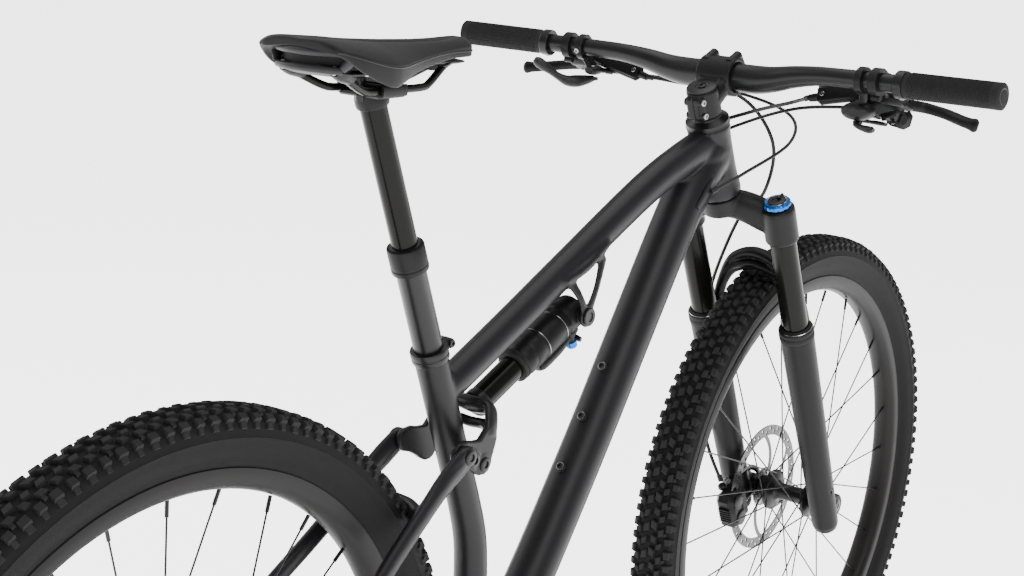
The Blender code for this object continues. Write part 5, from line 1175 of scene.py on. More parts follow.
        # floor of the pocket between the ribs
        skin_shapes.append(bent([(*steer(0.27, 0.0345, side * 0.068), 0.009),
                (*steer(0.318, 0.0475, side * 0.0625), 0.0075), (*steer(0.35, 0.0525, side * 0.051), 0.008),
                (*steer(0.376, 0.053, side * 0.033), 0.0085), (*steer(0.388, 0.052, 0.0), 0.0085)], 40, 16,
                (0.55, 1.15)))
    skin_shapes.append(box(steer(0.02, -0.003, 0.061), (0.015, 0.01, 0.055), (STEER_FWD, Y, STEER_UP), 0.002))
    make("lowers_skin", [(s, FORK_PAINT) for s in skin_shapes], "fork_lowers", "fork_lowers",
            ("fork_lowers",), voxel=0.0018, melt=5)
    shapes = []
    for side in (-1, 1):
        at = leg(side)
        put(shapes, SEAL, lathe([(0.0176, 0.304), (0.0226, 0.3042), (0.0232, 0.3054), (0.0233, 0.311),
                (0.0226, 0.3122), (0.0226, 0.3134), (0.0231, 0.3144), (0.023, 0.318), (0.022, 0.3196),
                (0.0206, 0.3204), (0.019, 0.3226), (0.0178, 0.323), (0.0172, 0.322), (0.0172, 0.312)], at,
                STEER_UP, 56))
        put(shapes, BRIGHT, lathe([(0.0217, 0.3194), (0.0222, 0.3199), (0.0217, 0.3204), (0.0212, 0.3199)],
                at, STEER_UP, 56, closed=True))
        put(shapes, DARK_BOLT, hexbolt(at + STEER_UP * -0.024, -STEER_UP, 0.006, 0.001))
        for s, p, y in ((0.356, 0.06, 0.052), (0.396, 0.063, 0.013)):
            put(shapes, BOLT, hexbolt(steer(s, p, side * y), STEER_FWD + STEER_UP * 0.1, 0.0026, 0.002))
    put(shapes, ANODISED, lathe([(0.0, -0.0778), (0.0062, -0.0778), (0.0085, -0.0774), (0.01, -0.0766),
            (0.01, -0.074)], FRONT, Y, 36))
    put(shapes, DARK_BOLT, hexbolt(FRONT - Y * 0.077, -Y, 0.0068, 0.0012))
    put(shapes, ANODISED, lathe([(0.0, 0.078), (0.0062, 0.078), (0.01, 0.0766), (0.01, 0.074)], FRONT, Y, 36))
    # hose guides on the arch and on the left leg
    for s, p, y in ((0.3, 0.056, 0.084), (0.23, 0.02, 0.093), (0.12, -0.004, 0.0885)):
        put(shapes, PLASTIC, lathe([(0.0028, -0.0035), (0.0042, -0.0035), (0.0042, 0.0035), (0.0028, 0.0035)],
                steer(s, p, y), STEER_UP, 20, closed=True))
    make("lowers_fittings", shapes, "fork_lowers", "fork_lowers")

    turn = (STEER_FWD, Y, STEER_UP)
    shapes = [(box(steer(0.022, -0.036, 0.047), (0.03, 0.029, 0.056), turn, 0.007), SATIN),
            (box(steer(0.022, -0.019, 0.0532), (0.016, 0.015, 0.05), turn, 0.004), SATIN),
            (box(steer(0.022, -0.019, 0.035), (0.015, 0.0058, 0.042), turn, 0.0024), SATIN)]
    for k in (-1, 1):
        put(shapes, ANODISED, lathe([(0.0108, 0.0), (0.0108, 0.0016), (0.009, 0.0022), (0.0, 0.0022)],
                steer(0.022 + k * 0.014, -0.034, 0.0325), -Y, 32))
        put(shapes, BOLT, hexbolt(steer(0.022 + k * 0.0245, -0.01, 0.062), -STEER_FWD, 0.005, 0.01))
    for k in range(6):
        put(shapes, DARK_BOLT, box(steer(0.022 - 0.01 + 0.004 * k, -0.053, 0.045), (0.004, 0.018, 0.0014),
                turn))
    put(shapes, ANODISED, lathe([(0.0, 0.0), (0.0058, 0.0), (0.0058, 0.005), (0.004, 0.007), (0.0, 0.007)],
            steer(0.05, -0.03, 0.058), STEER_UP, 24))
    make("front_caliper_body", shapes, "fork_lowers", "front_caliper", ("front_caliper",), bevel=0.0005)


# ---------------------------------------------------------------- shock
def build_shock():
    can = [(0.0, -0.0098), (0.015, -0.0098), (0.0188, -0.007), (0.0198, -0.004), (0.02, 0.018),
            (0.0194, 0.0196), (0.0194, 0.0212), (0.0203, 0.0226), (0.0205, 0.066), (0.0199, 0.0672),
            (0.0199, 0.0684), (0.0205, 0.0696), (0.0205, 0.085), (0.0196, 0.0868), (0.02, 0.0884),
            (0.02, 0.094), (0.0186, 0.099), (0.0182, 0.1002), (0.015, 0.1004)]
    wiper = [(0.015, 0.1002), (0.0188, 0.1004), (0.0195, 0.1012), (0.0195, 0.1032), (0.0184, 0.1042),
            (0.0184, 0.1052), (0.0192, 0.106), (0.0192, 0.1084), (0.018, 0.1096), (0.015, 0.1098)]
    shapes = [(lathe(can, SHOCK_PIVOT, SHOCK_DIR, 64), SATIN)]
    put(shapes, SEAL, lathe(wiper, SHOCK_PIVOT, SHOCK_DIR, 64))
    for t in (0.03, 0.064):
        put(shapes, BOLT, lathe([(0.0203, t), (0.0207, t), (0.0207, t + 0.001), (0.0203, t + 0.001)],
                SHOCK_PIVOT, SHOCK_DIR, 64, closed=True))
    for side in (-1, 1):
        put(shapes, DARK_BOLT, lathe([(0.0105, 0.014), (0.0105, 0.02), (0.008, 0.0218), (0.0, 0.0218)],
                SHOCK_PIVOT, Y * side, 32))
    # side reservoir and its valve along the can
    put(shapes, SATIN, bent([(*shock(0.03, -0.008, -0.0185), 0.007), (*shock(0.044, -0.0085, -0.019), 0.0078),
            (*shock(0.07, -0.0085, -0.019), 0.0078), (*shock(0.078, -0.008, -0.0185), 0.006)], 20, 22))
    put(shapes, DARK_BOLT, rod(shock(0.076, -0.008, -0.0188), shock(0.081, -0.008, -0.0188), 0.0042, 0.0038))
    put(shapes, SATIN, bent([(*shock(0.006, -0.005, -0.015), 0.0085),
            (*shock(0.018, -0.007, -0.0175), 0.0085), (*shock(0.033, -0.008, -0.0186), 0.0074)], 14, 20))
    # rebound knob under the can
    knob_at = shock(0.02, -0.012, -0.0225)
    rings = []
    for radius, h in ((0.005, 0.0), (0.0064, 0.0006), (0.0064, 0.007), (0.0052, 0.0082), (0.0001, 0.0084)):
        rings.append([knob_at + (-SHOCK_TOP) * h + SHOCK_DIR * ((radius - (0.0006 if i % 4 == 0
                and radius > 0.006 else 0)) * math.cos(2 * math.pi * i / 40)) + Y
                * ((radius - (0.0006 if i % 4 == 0 and radius > 0.006 else 0))
                * math.sin(2 * math.pi * i / 40)) for i in range(40)])
    put(shapes, BLUE, skin(rings))
    put(shapes, SATIN, rod(knob_at + SHOCK_TOP * 0.01, knob_at, 0.0045, 0.0045))
    make("shock_can", shapes, "shock_body", "shock_body", ("shock_body",))

    at = shock(0.008, -0.004, -0.026)
    shapes = [(bent([(*(at + SHOCK_TOP * 0.003 + Y * 0.01), 0.003), (*(at + Y * 0.004), 0.0042),
            (*(at - Y * 0.006 - SHOCK_TOP * 0.001), 0.0044), (*(at - Y * 0.0125 - SHOCK_TOP * 0.0025),
            0.0034)], 20, 16, (1.0, 0.7)), ANODISED)]
    put(shapes, ANODISED, lathe([(0.0052, -0.0046), (0.0058, -0.004), (0.0058, 0.0018), (0.005, 0.0026),
            (0.0, 0.0026)], at + Y * 0.004, -SHOCK_TOP, 28))
    make("shock_lever_arm", shapes, "shock_lever", "shock_lever", ("shock_lever",))

    shaft = [(0.0145, 0.074), (0.0145, 0.178)]
    shapes = [(lathe(shaft, SHOCK_PIVOT, SHOCK_DIR, 56), GLOSS), (lathe([(0.013, 0.169), (0.0152, 0.1696),
            (0.0156, 0.1705), (0.0156, 0.1785), (0.0146, 0.1792)], SHOCK_PIVOT, SHOCK_DIR, 48), ANODISED)]
    make("shock_shaft_tube", shapes, "shock_shaft", "shock_shaft", ("shock_shaft",))

    # yoke: lobed plates either side of the seat tube, arms up to the shaft
    outline = [(-0.163, 0.64), (-0.168, 0.647), (-0.175, 0.648), (-0.1815, 0.643), (-0.19, 0.6352),
            (-0.2, 0.636), (-0.212, 0.639), (-0.222, 0.638), (-0.23, 0.633), (-0.233, 0.626), (-0.231, 0.619),
            (-0.224, 0.6142), (-0.214, 0.611), (-0.206, 0.6075), (-0.198, 0.601), (-0.19, 0.5965),
            (-0.182, 0.596), (-0.1755, 0.599), (-0.1715, 0.605), (-0.168, 0.614), (-0.164, 0.624),
            (-0.1615, 0.632)]
    skin_shapes = []
    for side in (-1, 1):
        skin_shapes.append(prism(outline, side * 0.0332 if side > 0 else side * 0.04,
                side * 0.04 if side > 0 else side * 0.0332))
        for x, z in ((-0.201, 0.616), (-0.183, 0.6075)):
            skin_shapes.append(rod((x, side * 0.0335, z), (x, side * 0.0408, z), 0.0108, sides=28))
        skin_shapes.append(rod((STAY_PIVOT.x, side * 0.0335, STAY_PIVOT.z),
                (STAY_PIVOT.x, side * 0.0402, STAY_PIVOT.z), 0.0125, sides=28))
        skin_shapes.append(bent([(-0.172, side * 0.0365, 0.636, 0.0085),
                (-0.167, side * 0.0345, 0.648, 0.0085), (*shock(0.183, side * 0.024, 0.004), 0.0096),
                (*shock(0.182, side * 0.012, 0.004), 0.0124), (*shock(0.182, 0, 0.003), 0.0136)], 24, 20,
                (0.62, 1.15)))
        # curved web between the arms, below the shaft's end
        skin_shapes.append(bent([(-0.169, side * 0.035, 0.64, 0.007), (*shock(0.193, side * 0.02, -0.011),
                0.006), (*shock(0.191, 0, -0.014), 0.0058)], 16, 16))
    make("yoke_skin", [(s, PAINT) for s in skin_shapes], "shock_shaft", "shock_yoke", ("shock_yoke",),
            voxel=0.0013, melt=4)
    shapes = []
    for side in (-1, 1):
        for x, z in ((-0.201, 0.616), (-0.183, 0.6075)):
            put(shapes, DARK_BOLT, lathe([(0.0078, 0.0), (0.0078, 0.0018), (0.0066, 0.0026), (0.004, 0.0026),
                    (0.0036, 0.0012), (0.0, 0.0012)], (x, side * 0.0402, z), Y * side, 32))
    put(shapes, BOLT, hexbolt(shock(0.185, 0.009, 0.015), SHOCK_TOP + SHOCK_DIR * 0.4, 0.0034, 0.0024))
    make("yoke_bolts", shapes, "shock_shaft", "shock_yoke")


# ---------------------------------------------------------------- rear triangle
def build_rear():
    shapes = []
    for side in (-1, 1):
        shapes.append(bent([(-0.138, side * 0.0425, 0.38, 0.0062), (-0.175, side * 0.0425, 0.3785, 0.0075),
                (-0.235, side * 0.047, 0.376, 0.0088), (-0.36, side * 0.059, 0.3725, 0.0092),
                (-0.5, side * 0.0745, 0.3702, 0.008), (-0.565, side * 0.0795, 0.3705, 0.006)], 60, 22,
                (0.82, 1.25)))
        shapes.append(rod(MAIN_PIVOT + Y * side * 0.037, MAIN_PIVOT + Y * side * 0.048, 0.015, sides=36))
        shapes.append(rod(REAR + Y * side * 0.0742, REAR + Y * side * 0.084, 0.0165, sides=36))
        shapes.append(bent([(-0.56, side * 0.079, 0.372, 0.009), (-0.5825, side * 0.0792, 0.371, 0.011)], 4,
                16, (0.4, 1.3)))
    shapes.append(bent([(-0.186, -0.043, 0.3785, 0.0105), (-0.183, 0, 0.3785, 0.0098),
            (-0.186, 0.043, 0.3785, 0.0105)], 20, 20))
    shapes.append(prism([(-0.569, 0.364), (-0.596, 0.364), (-0.6, 0.345), (-0.599, 0.33), (-0.592, 0.3235),
            (-0.584, 0.322), (-0.575, 0.329), (-0.57, 0.344)], -0.0818, -0.0747))
    make("chainstay_skin", [(s, PAINT) for s in shapes], "rear_triangle", "chainstays", ("chainstays",),
            voxel=0.0018, melt=5)
    shapes = []
    for side in (-1, 1):
        put(shapes, DARK_BOLT, lathe([(0.012, 0.0), (0.012, 0.0014), (0.0105, 0.002), (0.0055, 0.002),
                (0.005, 0.0008), (0.0, 0.0008)], MAIN_PIVOT + Y * side * 0.0478, Y * side, 36))
        put(shapes, ANODISED, lathe([(0.01, 0.0), (0.01, 0.0018), (0.0085, 0.0024), (0.0045, 0.0024),
                (0.004, 0.001), (0.0, 0.001)], REAR + Y * side * 0.0838, Y * side, 36))
    # rubber guard over the drive-side stay, in ribs against chain slap
    for k in range(9):
        x = -0.27 - 0.022 * k
        f = (-0.235 - x) / 0.265
        y = -(0.047 + 0.0275 * f)
        z = 0.376 - 0.0055 * f
        put(shapes, SEAL, bent([(x, y, z + 0.005, 0.0084), (x - 0.0155, y - 0.0016, z + 0.0047, 0.0084)], 2,
                16, (0.84, 1.0)))
    make("chainstay_fittings", shapes, "rear_triangle", "chainstays")

    shapes = []
    for side in (-1, 1):
        shapes.append(bent([(-0.218, side * 0.0458, 0.6275, 0.0062), (-0.236, side * 0.046, 0.6165, 0.0085),
                (-0.266, side * 0.0472, 0.599, 0.0092), (-0.34, side * 0.052, 0.547, 0.009),
                (-0.42, side * 0.0625, 0.49, 0.0082), (-0.49, side * 0.0715, 0.4405, 0.0076),
                (-0.546, side * 0.0785, 0.4, 0.0064)], 60, 22, (0.8, 1.2)))
        shapes.append(rod(STAY_PIVOT + Y * side * 0.0406, STAY_PIVOT + Y * side * 0.0508, 0.0112, sides=36))
    for side in (-1, 1):
        shapes.append(bent([(-0.221, side * 0.0455, 0.625, 0.012), (-0.245, side * 0.0458, 0.612, 0.0125),
                (-0.272, side * 0.047, 0.595, 0.011), (-0.306, side * 0.0495, 0.571, 0.0085)], 20, 20,
                (0.5, 1.15)))
        # arched bridge with a fillet at each stay
        shapes.append(bent([(-0.292, side * 0.0485, 0.58, 0.0105), (-0.288, side * 0.038, 0.579, 0.008),
                (-0.28, side * 0.02, 0.583, 0.0066), (-0.278, 0, 0.584, 0.0064)], 20, 18, (1.0, 1.25)))
    make("seatstay_skin", [(s, PAINT) for s in shapes], "rear_triangle", "seatstays", ("seatstays",),
            voxel=0.0018, melt=5)
    shapes = []
    for side in (-1, 1):
        put(shapes, DARK_BOLT, lathe([(0.0085, 0.0), (0.0085, 0.0016), (0.0072, 0.0024), (0.0042, 0.0024),
                (0.0038, 0.001), (0.0, 0.001)], STAY_PIVOT + Y * side * 0.0506, Y * side, 36))
    make("seatstay_bolts", shapes, "rear_triangle", "seatstays")

    c, s = math.cos(math.radians(38.0)), math.sin(math.radians(38.0))
    out, across = Vector((c, 0, s)), Vector((-s, 0, c))
    turn = (out, Y, across)
    at = REAR + out * 0.074 + Y * 0.0585
    shapes = [(box(at + out * 0.006, (0.025, 0.0175, 0.038), turn, 0.005), SATIN),
            (box(at - out * 0.008 + Y * 0.0062, (0.018, 0.0052, 0.035), turn, 0.002), SATIN),
            (box(at - out * 0.008 - Y * 0.0062, (0.018, 0.005, 0.035), turn, 0.002), SATIN)]
    for k in (-1, 1):
        put(shapes, BOLT, hexbolt(at + across * k * 0.0145 + out * 0.016, out, 0.0045, 0.003))
    put(shapes, ANODISED, lathe([(0.0095, 0.0), (0.0095, 0.001), (0.008, 0.0014), (0.0, 0.0014)],
            at - Y * 0.0088, -Y, 28))
    hose = [(*(REAR + out * 0.088 + Vector((0, 0.062, -0.006))), 0.0024), (-0.47, 0.076, 0.4, 0.0024),
            (-0.4, 0.074, 0.387, 0.0024), (-0.28, 0.058, 0.389, 0.0024), (-0.17, 0.054, 0.399, 0.0024)]
    put(shapes, HOSE, bent(hose, 48, 12))
    for x, y, z in ((-0.435, 0.0752, 0.3925), (-0.34, 0.0662, 0.388), (-0.23, 0.056, 0.3935)):
        put(shapes, PLASTIC, bent([(x - 0.004, y, z, 0.0036), (x + 0.004, y, z, 0.0036)], 2, 14))
    make("rear_caliper_body", shapes, "rear_triangle", "rear_caliper", ("rear_caliper",), bevel=0.0005)


# ---------------------------------------------------------------- drivetrain
CHAIN_Y = -0.045
RING_Y = -0.0552
GUIDE = Vector((-0.574, CHAIN_Y, 0.266))
TENSION = Vector((-0.552, CHAIN_Y, 0.176))
PULLEY_R = 0.0235
CAGE_PIVOT = Vector((-0.582, CHAIN_Y, 0.258))


def tangent(c0, r0, d0, c1, r1, d1):
    delta = c1 - c0
    base = math.atan2(delta.y, delta.x)
    angle = base + math.asin(max(-1.0, min(1.0, (d1 * r1 - d0 * r0) / delta.length)))
    normal = Vector((-math.sin(angle), math.cos(angle)))
    return c0 + normal * (r0 * d0), c1 + normal * (r1 * d1)


def belt(circles, step):
    """Closed path round (x, z, radius, direction) circles, as points at most a step apart."""
    count = len(circles)
    leave, meet = [], []
    for i in range(count):
        x0, z0, r0, d0 = circles[i]
        x1, z1, r1, d1 = circles[(i + 1) % count]
        out, into = tangent(Vector((x0, z0)), r0, d0, Vector((x1, z1)), r1, d1)
        leave.append(out)
        meet.append(into)
    path = []
    for i in range(count):
        x, z, r, d = circles[i]
        centre = Vector((x, z))
        a, b = meet[i - 1] - centre, leave[i] - centre
        a0, a1 = math.atan2(a.y, a.x), math.atan2(b.y, b.x)
        sweep = (a0 - a1) * d % (2 * math.pi)
        parts = max(1, round(sweep * r / step))
        for k in range(parts + 1):
            angle = a0 - d * sweep * k / parts
            path.append(centre + Vector((math.cos(angle), math.sin(angle))) * r)
        nxt = meet[i]
        span = (nxt - path[-1]).length
        parts = max(1, round(span / step))
        start = path[-1].copy()
        for k in range(1, parts):
            path.append(start.lerp(nxt, k / parts))
    return path


def link_plate(a, b, y, half, radius, waist):
    """Side plate of a chain link between the pins a and b, both (x, z)."""
    d = (b - a).normalized()
    n = Vector((-d.y, d.x))
    loop = []
    for k in range(7):
        t = math.pi / 2 + math.pi * k / 6
        loop.append(a + d * (radius * math.cos(t)) + n * (radius * math.sin(t)))
    loop.append((a + b) / 2 - n * waist)
    for k in range(7):
        t = -math.pi / 2 + math.pi * k / 6
        loop.append(b + d * (radius * math.cos(t)) + n * (radius * math.sin(t)))
    loop.append((a + b) / 2 + n * waist)
    return skin([[Vector((p.x, y - half, p.y)) for p in loop], [Vector((p.x, y + half, p.y)) for p in loop]])


def build_pedal(name, side, x):
    centre = Vector((x, side * 0.148, BB.z))
    long, wide = 0.048, 0.047
    skin_shapes = []
    loop = []
    for sx, sy, turn in ((1, 1, 0), (-1, 1, math.pi / 2), (-1, -1, math.pi), (1, -1, 1.5 * math.pi)):
        for k in range(5):
            a = math.pi / 8 * k + turn
            loop.append((sx * (long - 0.0155) + 0.0105 * math.cos(a), sy * (wide - 0.0135) + 0.0085
                    * math.sin(a)))
    rows = [(centre.x + px, centre.y + py, centre.z, 0.006) for px, py in loop]
    skin_shapes.append(tube(rows, 14, False, (1.0, 0.8), closed=True))
    skin_shapes.append(rod(centre - Y * side * 0.043, centre + Y * side * 0.045, 0.008, 0.007, 24))
    skin_shapes.append(rod(centre - Y * 0.04, centre + Y * 0.04, 0.0082, sides=24))
    for k in (-1, 1):
        for y in (-0.016, 0.016):
            skin_shapes.append(bent([(centre.x, centre.y + y, centre.z, 0.005),
                    (centre.x + k * 0.04, centre.y + y, centre.z, 0.0046)], 2, 10))
    make(name + "_cage", [(s, SATIN) for s in skin_shapes], name, name, (name,), voxel=0.0013, melt=2)
    shapes = []
    for sx in (-1, 1):
        for sy in (-0.034, -0.012, 0.012, 0.034):
            for up in (-1, 1):
                at = centre + Vector((sx * 0.0415, sy, up * 0.0035))
                put(shapes, BOLT, rod(at, at + UP * up * 0.0055, 0.0019, 0.0016, 10))
    put(shapes, DARK_BOLT, lathe([(0.0085, 0.04), (0.01, 0.041), (0.01, 0.05), (0.0062, 0.0505),
            (0.0, 0.0505)], centre, Y * -side, 32))
    make(name + "_pins", shapes, name, name)


def crank_arm(x1, side):
    rings = []
    for f, half, y0, y1 in ((-0.112, 0.006, 0.076, 0.0835), (-0.095, 0.013, 0.0742, 0.085),
            (-0.05, 0.0185, 0.0732, 0.086), (0.0, 0.02, 0.073, 0.086), (0.07, 0.0192, 0.073, 0.086),
            (0.18, 0.0152, 0.0732, 0.086), (0.45, 0.0132, 0.0738, 0.0855), (0.8, 0.012, 0.074, 0.0852),
            (0.95, 0.0122, 0.0734, 0.0858), (1.03, 0.0108, 0.0738, 0.0855), (1.065, 0.006, 0.076, 0.0835)):
        x = BB.x + (x1 - BB.x) * f
        ring = []
        for k in range(24):
            a = 2 * math.pi * k / 24
            u = math.copysign(abs(math.cos(a)) ** 0.55, math.cos(a))
            w = math.copysign(abs(math.sin(a)) ** 0.55, math.sin(a))
            ring.append(Vector((x, side * ((y0 + y1) / 2 + (y1 - y0) / 2 * u), BB.z + half * w)))
        rings.append(ring)
    rows = [sum(([*p] for p in ring), []) for ring in rings]
    smooth = []
    for row in curve(rows, 60):
        smooth.append([Vector(row[i:i + 3]) for i in range(0, len(row), 3)])
    return skin(smooth)


def build_drive():
    for name, side, x1 in (("crank_right", -1, BB.x + CRANK_LENGTH), ("crank_left", 1, BB.x - CRANK_LENGTH)):
        shapes = [(crank_arm(x1, side), SATIN)]
        at = Vector((x1, 0, BB.z))
        put(shapes, BOLT, rod(at + Y * side * 0.085, at + Y * side * 0.0955, 0.0062, sides=24),
                lathe([(0.0098, 0.0), (0.0098, 0.001), (0.0086, 0.0016), (0.0, 0.0016)],
                at + Y * side * 0.085, Y * side, 28))
        put(shapes, ANODISED, lathe([(0.0135, 0.0), (0.0135, 0.0014), (0.011, 0.0022), (0.0062, 0.0022),
                (0.0056, 0.0006), (0.0, 0.0006)], BB + Y * side * 0.0855, Y * side, 36))
        if side < 0:
            put(shapes, ANODISED, rod(BB - Y * 0.075, BB + Y * 0.0726, 0.0135, sides=32))
            put(shapes, SATIN, rod(BB - Y * 0.075, BB - Y * 0.0405, 0.019, sides=36))
        make(name + "_arm", shapes, "crank", name, (name,))

    ring_r = pitch_radius(RING_TEETH)
    shapes = [(gear(BB, RING_Y, 0.0011, ring_r - 0.0028, ring_r + 0.002, RING_TEETH, 0.056), ANODISED)]
    for k in range(4):
        a = math.pi / 4 + k * math.pi / 2
        rows = []
        for f in range(7):
            r = 0.024 + (0.06 - 0.024) * f / 6
            t = a + 0.1 * math.sin(math.pi * f / 6)
            rows.append((BB.x + r * math.cos(t), RING_Y, BB.z + r * math.sin(t),
                    0.009 - 0.0035 * math.sin(math.pi * f / 8)))
        put(shapes, ANODISED, tube(rows, 12, True, (0.14, 1.0)))
        d = Vector((math.cos(a), 0, math.sin(a)))
        put(shapes, BOLT, lathe([(0.0052, -0.0016), (0.0052, 0.0016), (0.0, 0.0016)],
                BB + d * 0.057 + Y * RING_Y, -Y, 24))
    put(shapes, ANODISED, lathe([(0.029, RING_Y + 0.0014), (0.029, RING_Y - 0.0014),
            (0.0198, RING_Y - 0.0014), (0.0198, RING_Y + 0.0014)], BB, Y, 48, closed=True))
    make("chainring_teeth", shapes, "crank", "chainring", ("chainring",))

    build_pedal("pedal_right", -1, BB.x + CRANK_LENGTH)
    build_pedal("pedal_left", 1, BB.x - CRANK_LENGTH)

    cog = pitch_radius(CHAIN_COG_TEETH)
    circles = [(REAR.x, REAR.z, cog + 0.0006, -1), (GUIDE.x, GUIDE.z, PULLEY_R + 0.0003, 1),
            (TENSION.x, TENSION.z, PULLEY_R + 0.0003, -1), (BB.x, BB.z, ring_r + 0.0006, -1)]
    dense = belt(circles, 0.001)
    lengths = [0.0]
    for a, b in zip(dense, dense[1:] + dense[:1]):
        lengths.append(lengths[-1] + (b - a).length)
    count = round(lengths[-1] / CHAIN_PITCH / 2) * 2
    pins = []
    k = 0
    for i in range(count):
        want = lengths[-1] * i / count
        while lengths[k + 1] < want:
            k += 1
        f = (want - lengths[k]) / max(1e-9, lengths[k + 1] - lengths[k])
        pins.append(dense[k].lerp(dense[(k + 1) % len(dense)], f))
    shapes = []
    for i in range(count):
        a, b = pins[i], pins[(i + 1) % count]
        mid = (a + b) / 2
        share = max(0.0, min(1.0, (mid.x - REAR.x) / (BB.x - REAR.x)))
        y = CHAIN_Y + (RING_Y - CHAIN_Y) * share
        off = 0.0026 if i % 2 else 0.0018
        for side in (-1, 1):
            put(shapes, CHAIN, link_plate(a, b, y + side * off, 0.0004, 0.004, 0.0027))
        put(shapes, BOLT, rod((a.x, y - 0.0031, a.y), (a.x, y + 0.0031, a.y), 0.0017, sides=10))
        put(shapes, CHAIN, rod((a.x, y - 0.0013, a.y), (a.x, y + 0.0013, a.y), 0.0038, sides=10))
    chain = make("chain_links", shapes, None, "chain", ("chain",))
    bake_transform(chain)

    hanger = Vector((-0.586, 0, 0.333))
    shapes = [(lathe([(0.0, 0.083), (0.0125, 0.083), (0.0132, 0.084), (0.0132, 0.0915), (0.0115, 0.0945),
            (0.007, 0.095), (0.0062, 0.0935), (0.0, 0.0935)], hanger, -Y, 40), SATIN)]
    put(shapes, BOLT, hexbolt(hanger - Y * 0.0938, -Y, 0.0055, 0.001))
    put(shapes, SATIN, bent([(-0.587, -0.089, 0.33, 0.0105), (-0.595, -0.089, 0.321, 0.0105),
            (-0.603, -0.089, 0.312, 0.0085)], 16, 22, (0.58, 1.0)))
    put(shapes, BOLT, rod((-0.606, -0.089, 0.32), (-0.615, -0.089, 0.3235), 0.0034, 0.003, 16))
    make("derailleur_head", shapes, "rear_triangle", "derailleur_body", ("derailleur_body",))
    shapes = []
    for y in (-0.0895, -0.0735):
        put(shapes, SATIN, bent([(-0.602, y, 0.3, 0.008), (-0.596, y, 0.284, 0.0085),
                (-0.587, y, 0.266, 0.0095), (-0.583, y, 0.259, 0.008)], 20, 18, (0.3, 1.0)))
    for x, z in ((-0.601, 0.2985), (-0.5945, 0.2845)):
        put(shapes, BOLT, rod((x, -0.092, z), (x, -0.0705, z), 0.0036, sides=20))
    put(shapes, SATIN, lathe([(0.0, 0.0523), (0.0118, 0.0523), (0.0125, 0.0533), (0.0125, 0.091),
            (0.011, 0.0935), (0.0066, 0.094), (0.006, 0.0925), (0.0, 0.0925)],
            (CAGE_PIVOT.x, 0, CAGE_PIVOT.z), -Y, 40))
    make("derailleur_links", shapes, "derailleur_link", "derailleur_link", ("derailleur_link",))
    line = (TENSION - GUIDE).normalized()
    side = Vector((-line.z, 0, line.x))
    outline = []
    for k in range(9):
        t = math.pi * k / 8
        outline.append(GUIDE + side * (0.0105 * math.cos(t)) - line * (0.011 * math.sin(t)))
    outline.append((GUIDE + TENSION) / 2 - side * 0.0062)
    for k in range(9):
        t = math.pi + math.pi * k / 8
        outline.append(TENSION + side * (0.0105 * math.cos(t)) - line * (0.011 * math.sin(t)))
    outline.append((GUIDE + TENSION) / 2 + side * 0.0062)
    flat = [(p.x, p.z) for p in outline]
    shapes = [(prism(flat, CHAIN_Y - 0.0068, CHAIN_Y - 0.0052), ANODISED),
            (prism(flat, CHAIN_Y + 0.0052, CHAIN_Y + 0.0068), ANODISED)]
    for point in (GUIDE, TENSION):
        put(shapes, BOLT, rod(point - Y * 0.007, point + Y * 0.007, 0.003, sides=20),
                hexbolt(point - Y * 0.0066, -Y, 0.0042, 0.0014))
    make("derailleur_cage_plates", shapes, "derailleur_cage", "derailleur_cage", ("derailleur_cage",))
    for name, point in (("guide_pulley", GUIDE), ("tension_pulley", TENSION)):
        shapes = [(gear(Vector((point.x, 0, point.z)), point.y, 0.0011, PULLEY_R - 0.003, PULLEY_R + 0.0012,
                PULLEY_TEETH, 0.01), PLASTIC)]
        put(shapes, SATIN, lathe([(0.011, 0.0016), (0.011, -0.0016), (0.0034, -0.0016), (0.0034, 0.0016)],
                point, Y, 32, closed=True))
        make(name + "_wheel", shapes, name, name, (name,))


# ---------------------------------------------------------------- hoses and cables
def build_cables():
    front = [(0.326, 0.117, 0.964), (0.344, 0.086, 0.96), (0.398, 0.02, 0.945), (0.42, -0.02, 0.89),
            (0.424, -0.012, 0.825), steer(0.433, 0.088, 0.033), steer(0.35, 0.072, 0.075),
            steer(0.29, 0.048, 0.0905), steer(0.24, 0.022, 0.0955), steer(0.12, -0.006, 0.088),
            steer(0.062, -0.03, 0.058)]
    rear = [(0.326, -0.117, 0.964), (0.348, -0.08, 0.952), (0.37, -0.01, 0.93), (0.345, 0.042, 0.905),
            (0.29, 0.045, 0.874), (0.262, 0.031, 0.852)]
    shift = [(0.333, -0.17, 0.958), (0.35, -0.09, 0.946), (0.364, -0.01, 0.918), (0.335, 0.042, 0.886),
            (0.278, 0.045, 0.85), (0.248, 0.031, 0.832)]
    dropper = [(0.327, 0.18, 0.964), (0.35, 0.1, 0.962), (0.38, 0.0, 0.95), (0.386, -0.062, 0.93),
            (0.36, -0.076, 0.9), (0.295, -0.052, 0.866), (0.256, -0.031, 0.844)]
    for name, rows, other in (("hose_front", front, "fork_lowers"), ("hose_rear", rear, "frame"),
            ("shift_cable", shift, "frame"), ("dropper_cable", dropper, "frame")):
        rows = [Vector(p) for p in rows]
        radius = 0.0024 if name.startswith("hose") else 0.0021
        ends = [(rows[0], rows[1]), (rows[-1], rows[-2])]
        shapes = [(bent([(*p, radius) for p in rows], 96, 14), HOSE)]
        for a, b in ends:
            way = (b - a).normalized()
            put(shapes, PLASTIC, lathe([(radius, 0.0), (radius + 0.0012, 0.0005), (radius + 0.0012, 0.009),
                    (radius, 0.01)], a, way, 20))
        line = make(name + "_line", shapes, None, name, (name,))
        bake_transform(line)


build_wheels()
build_frame()
build_saddle()
build_cockpit()
build_levers()
build_fork()
build_shock()
build_rear()
build_drive()
build_cables()

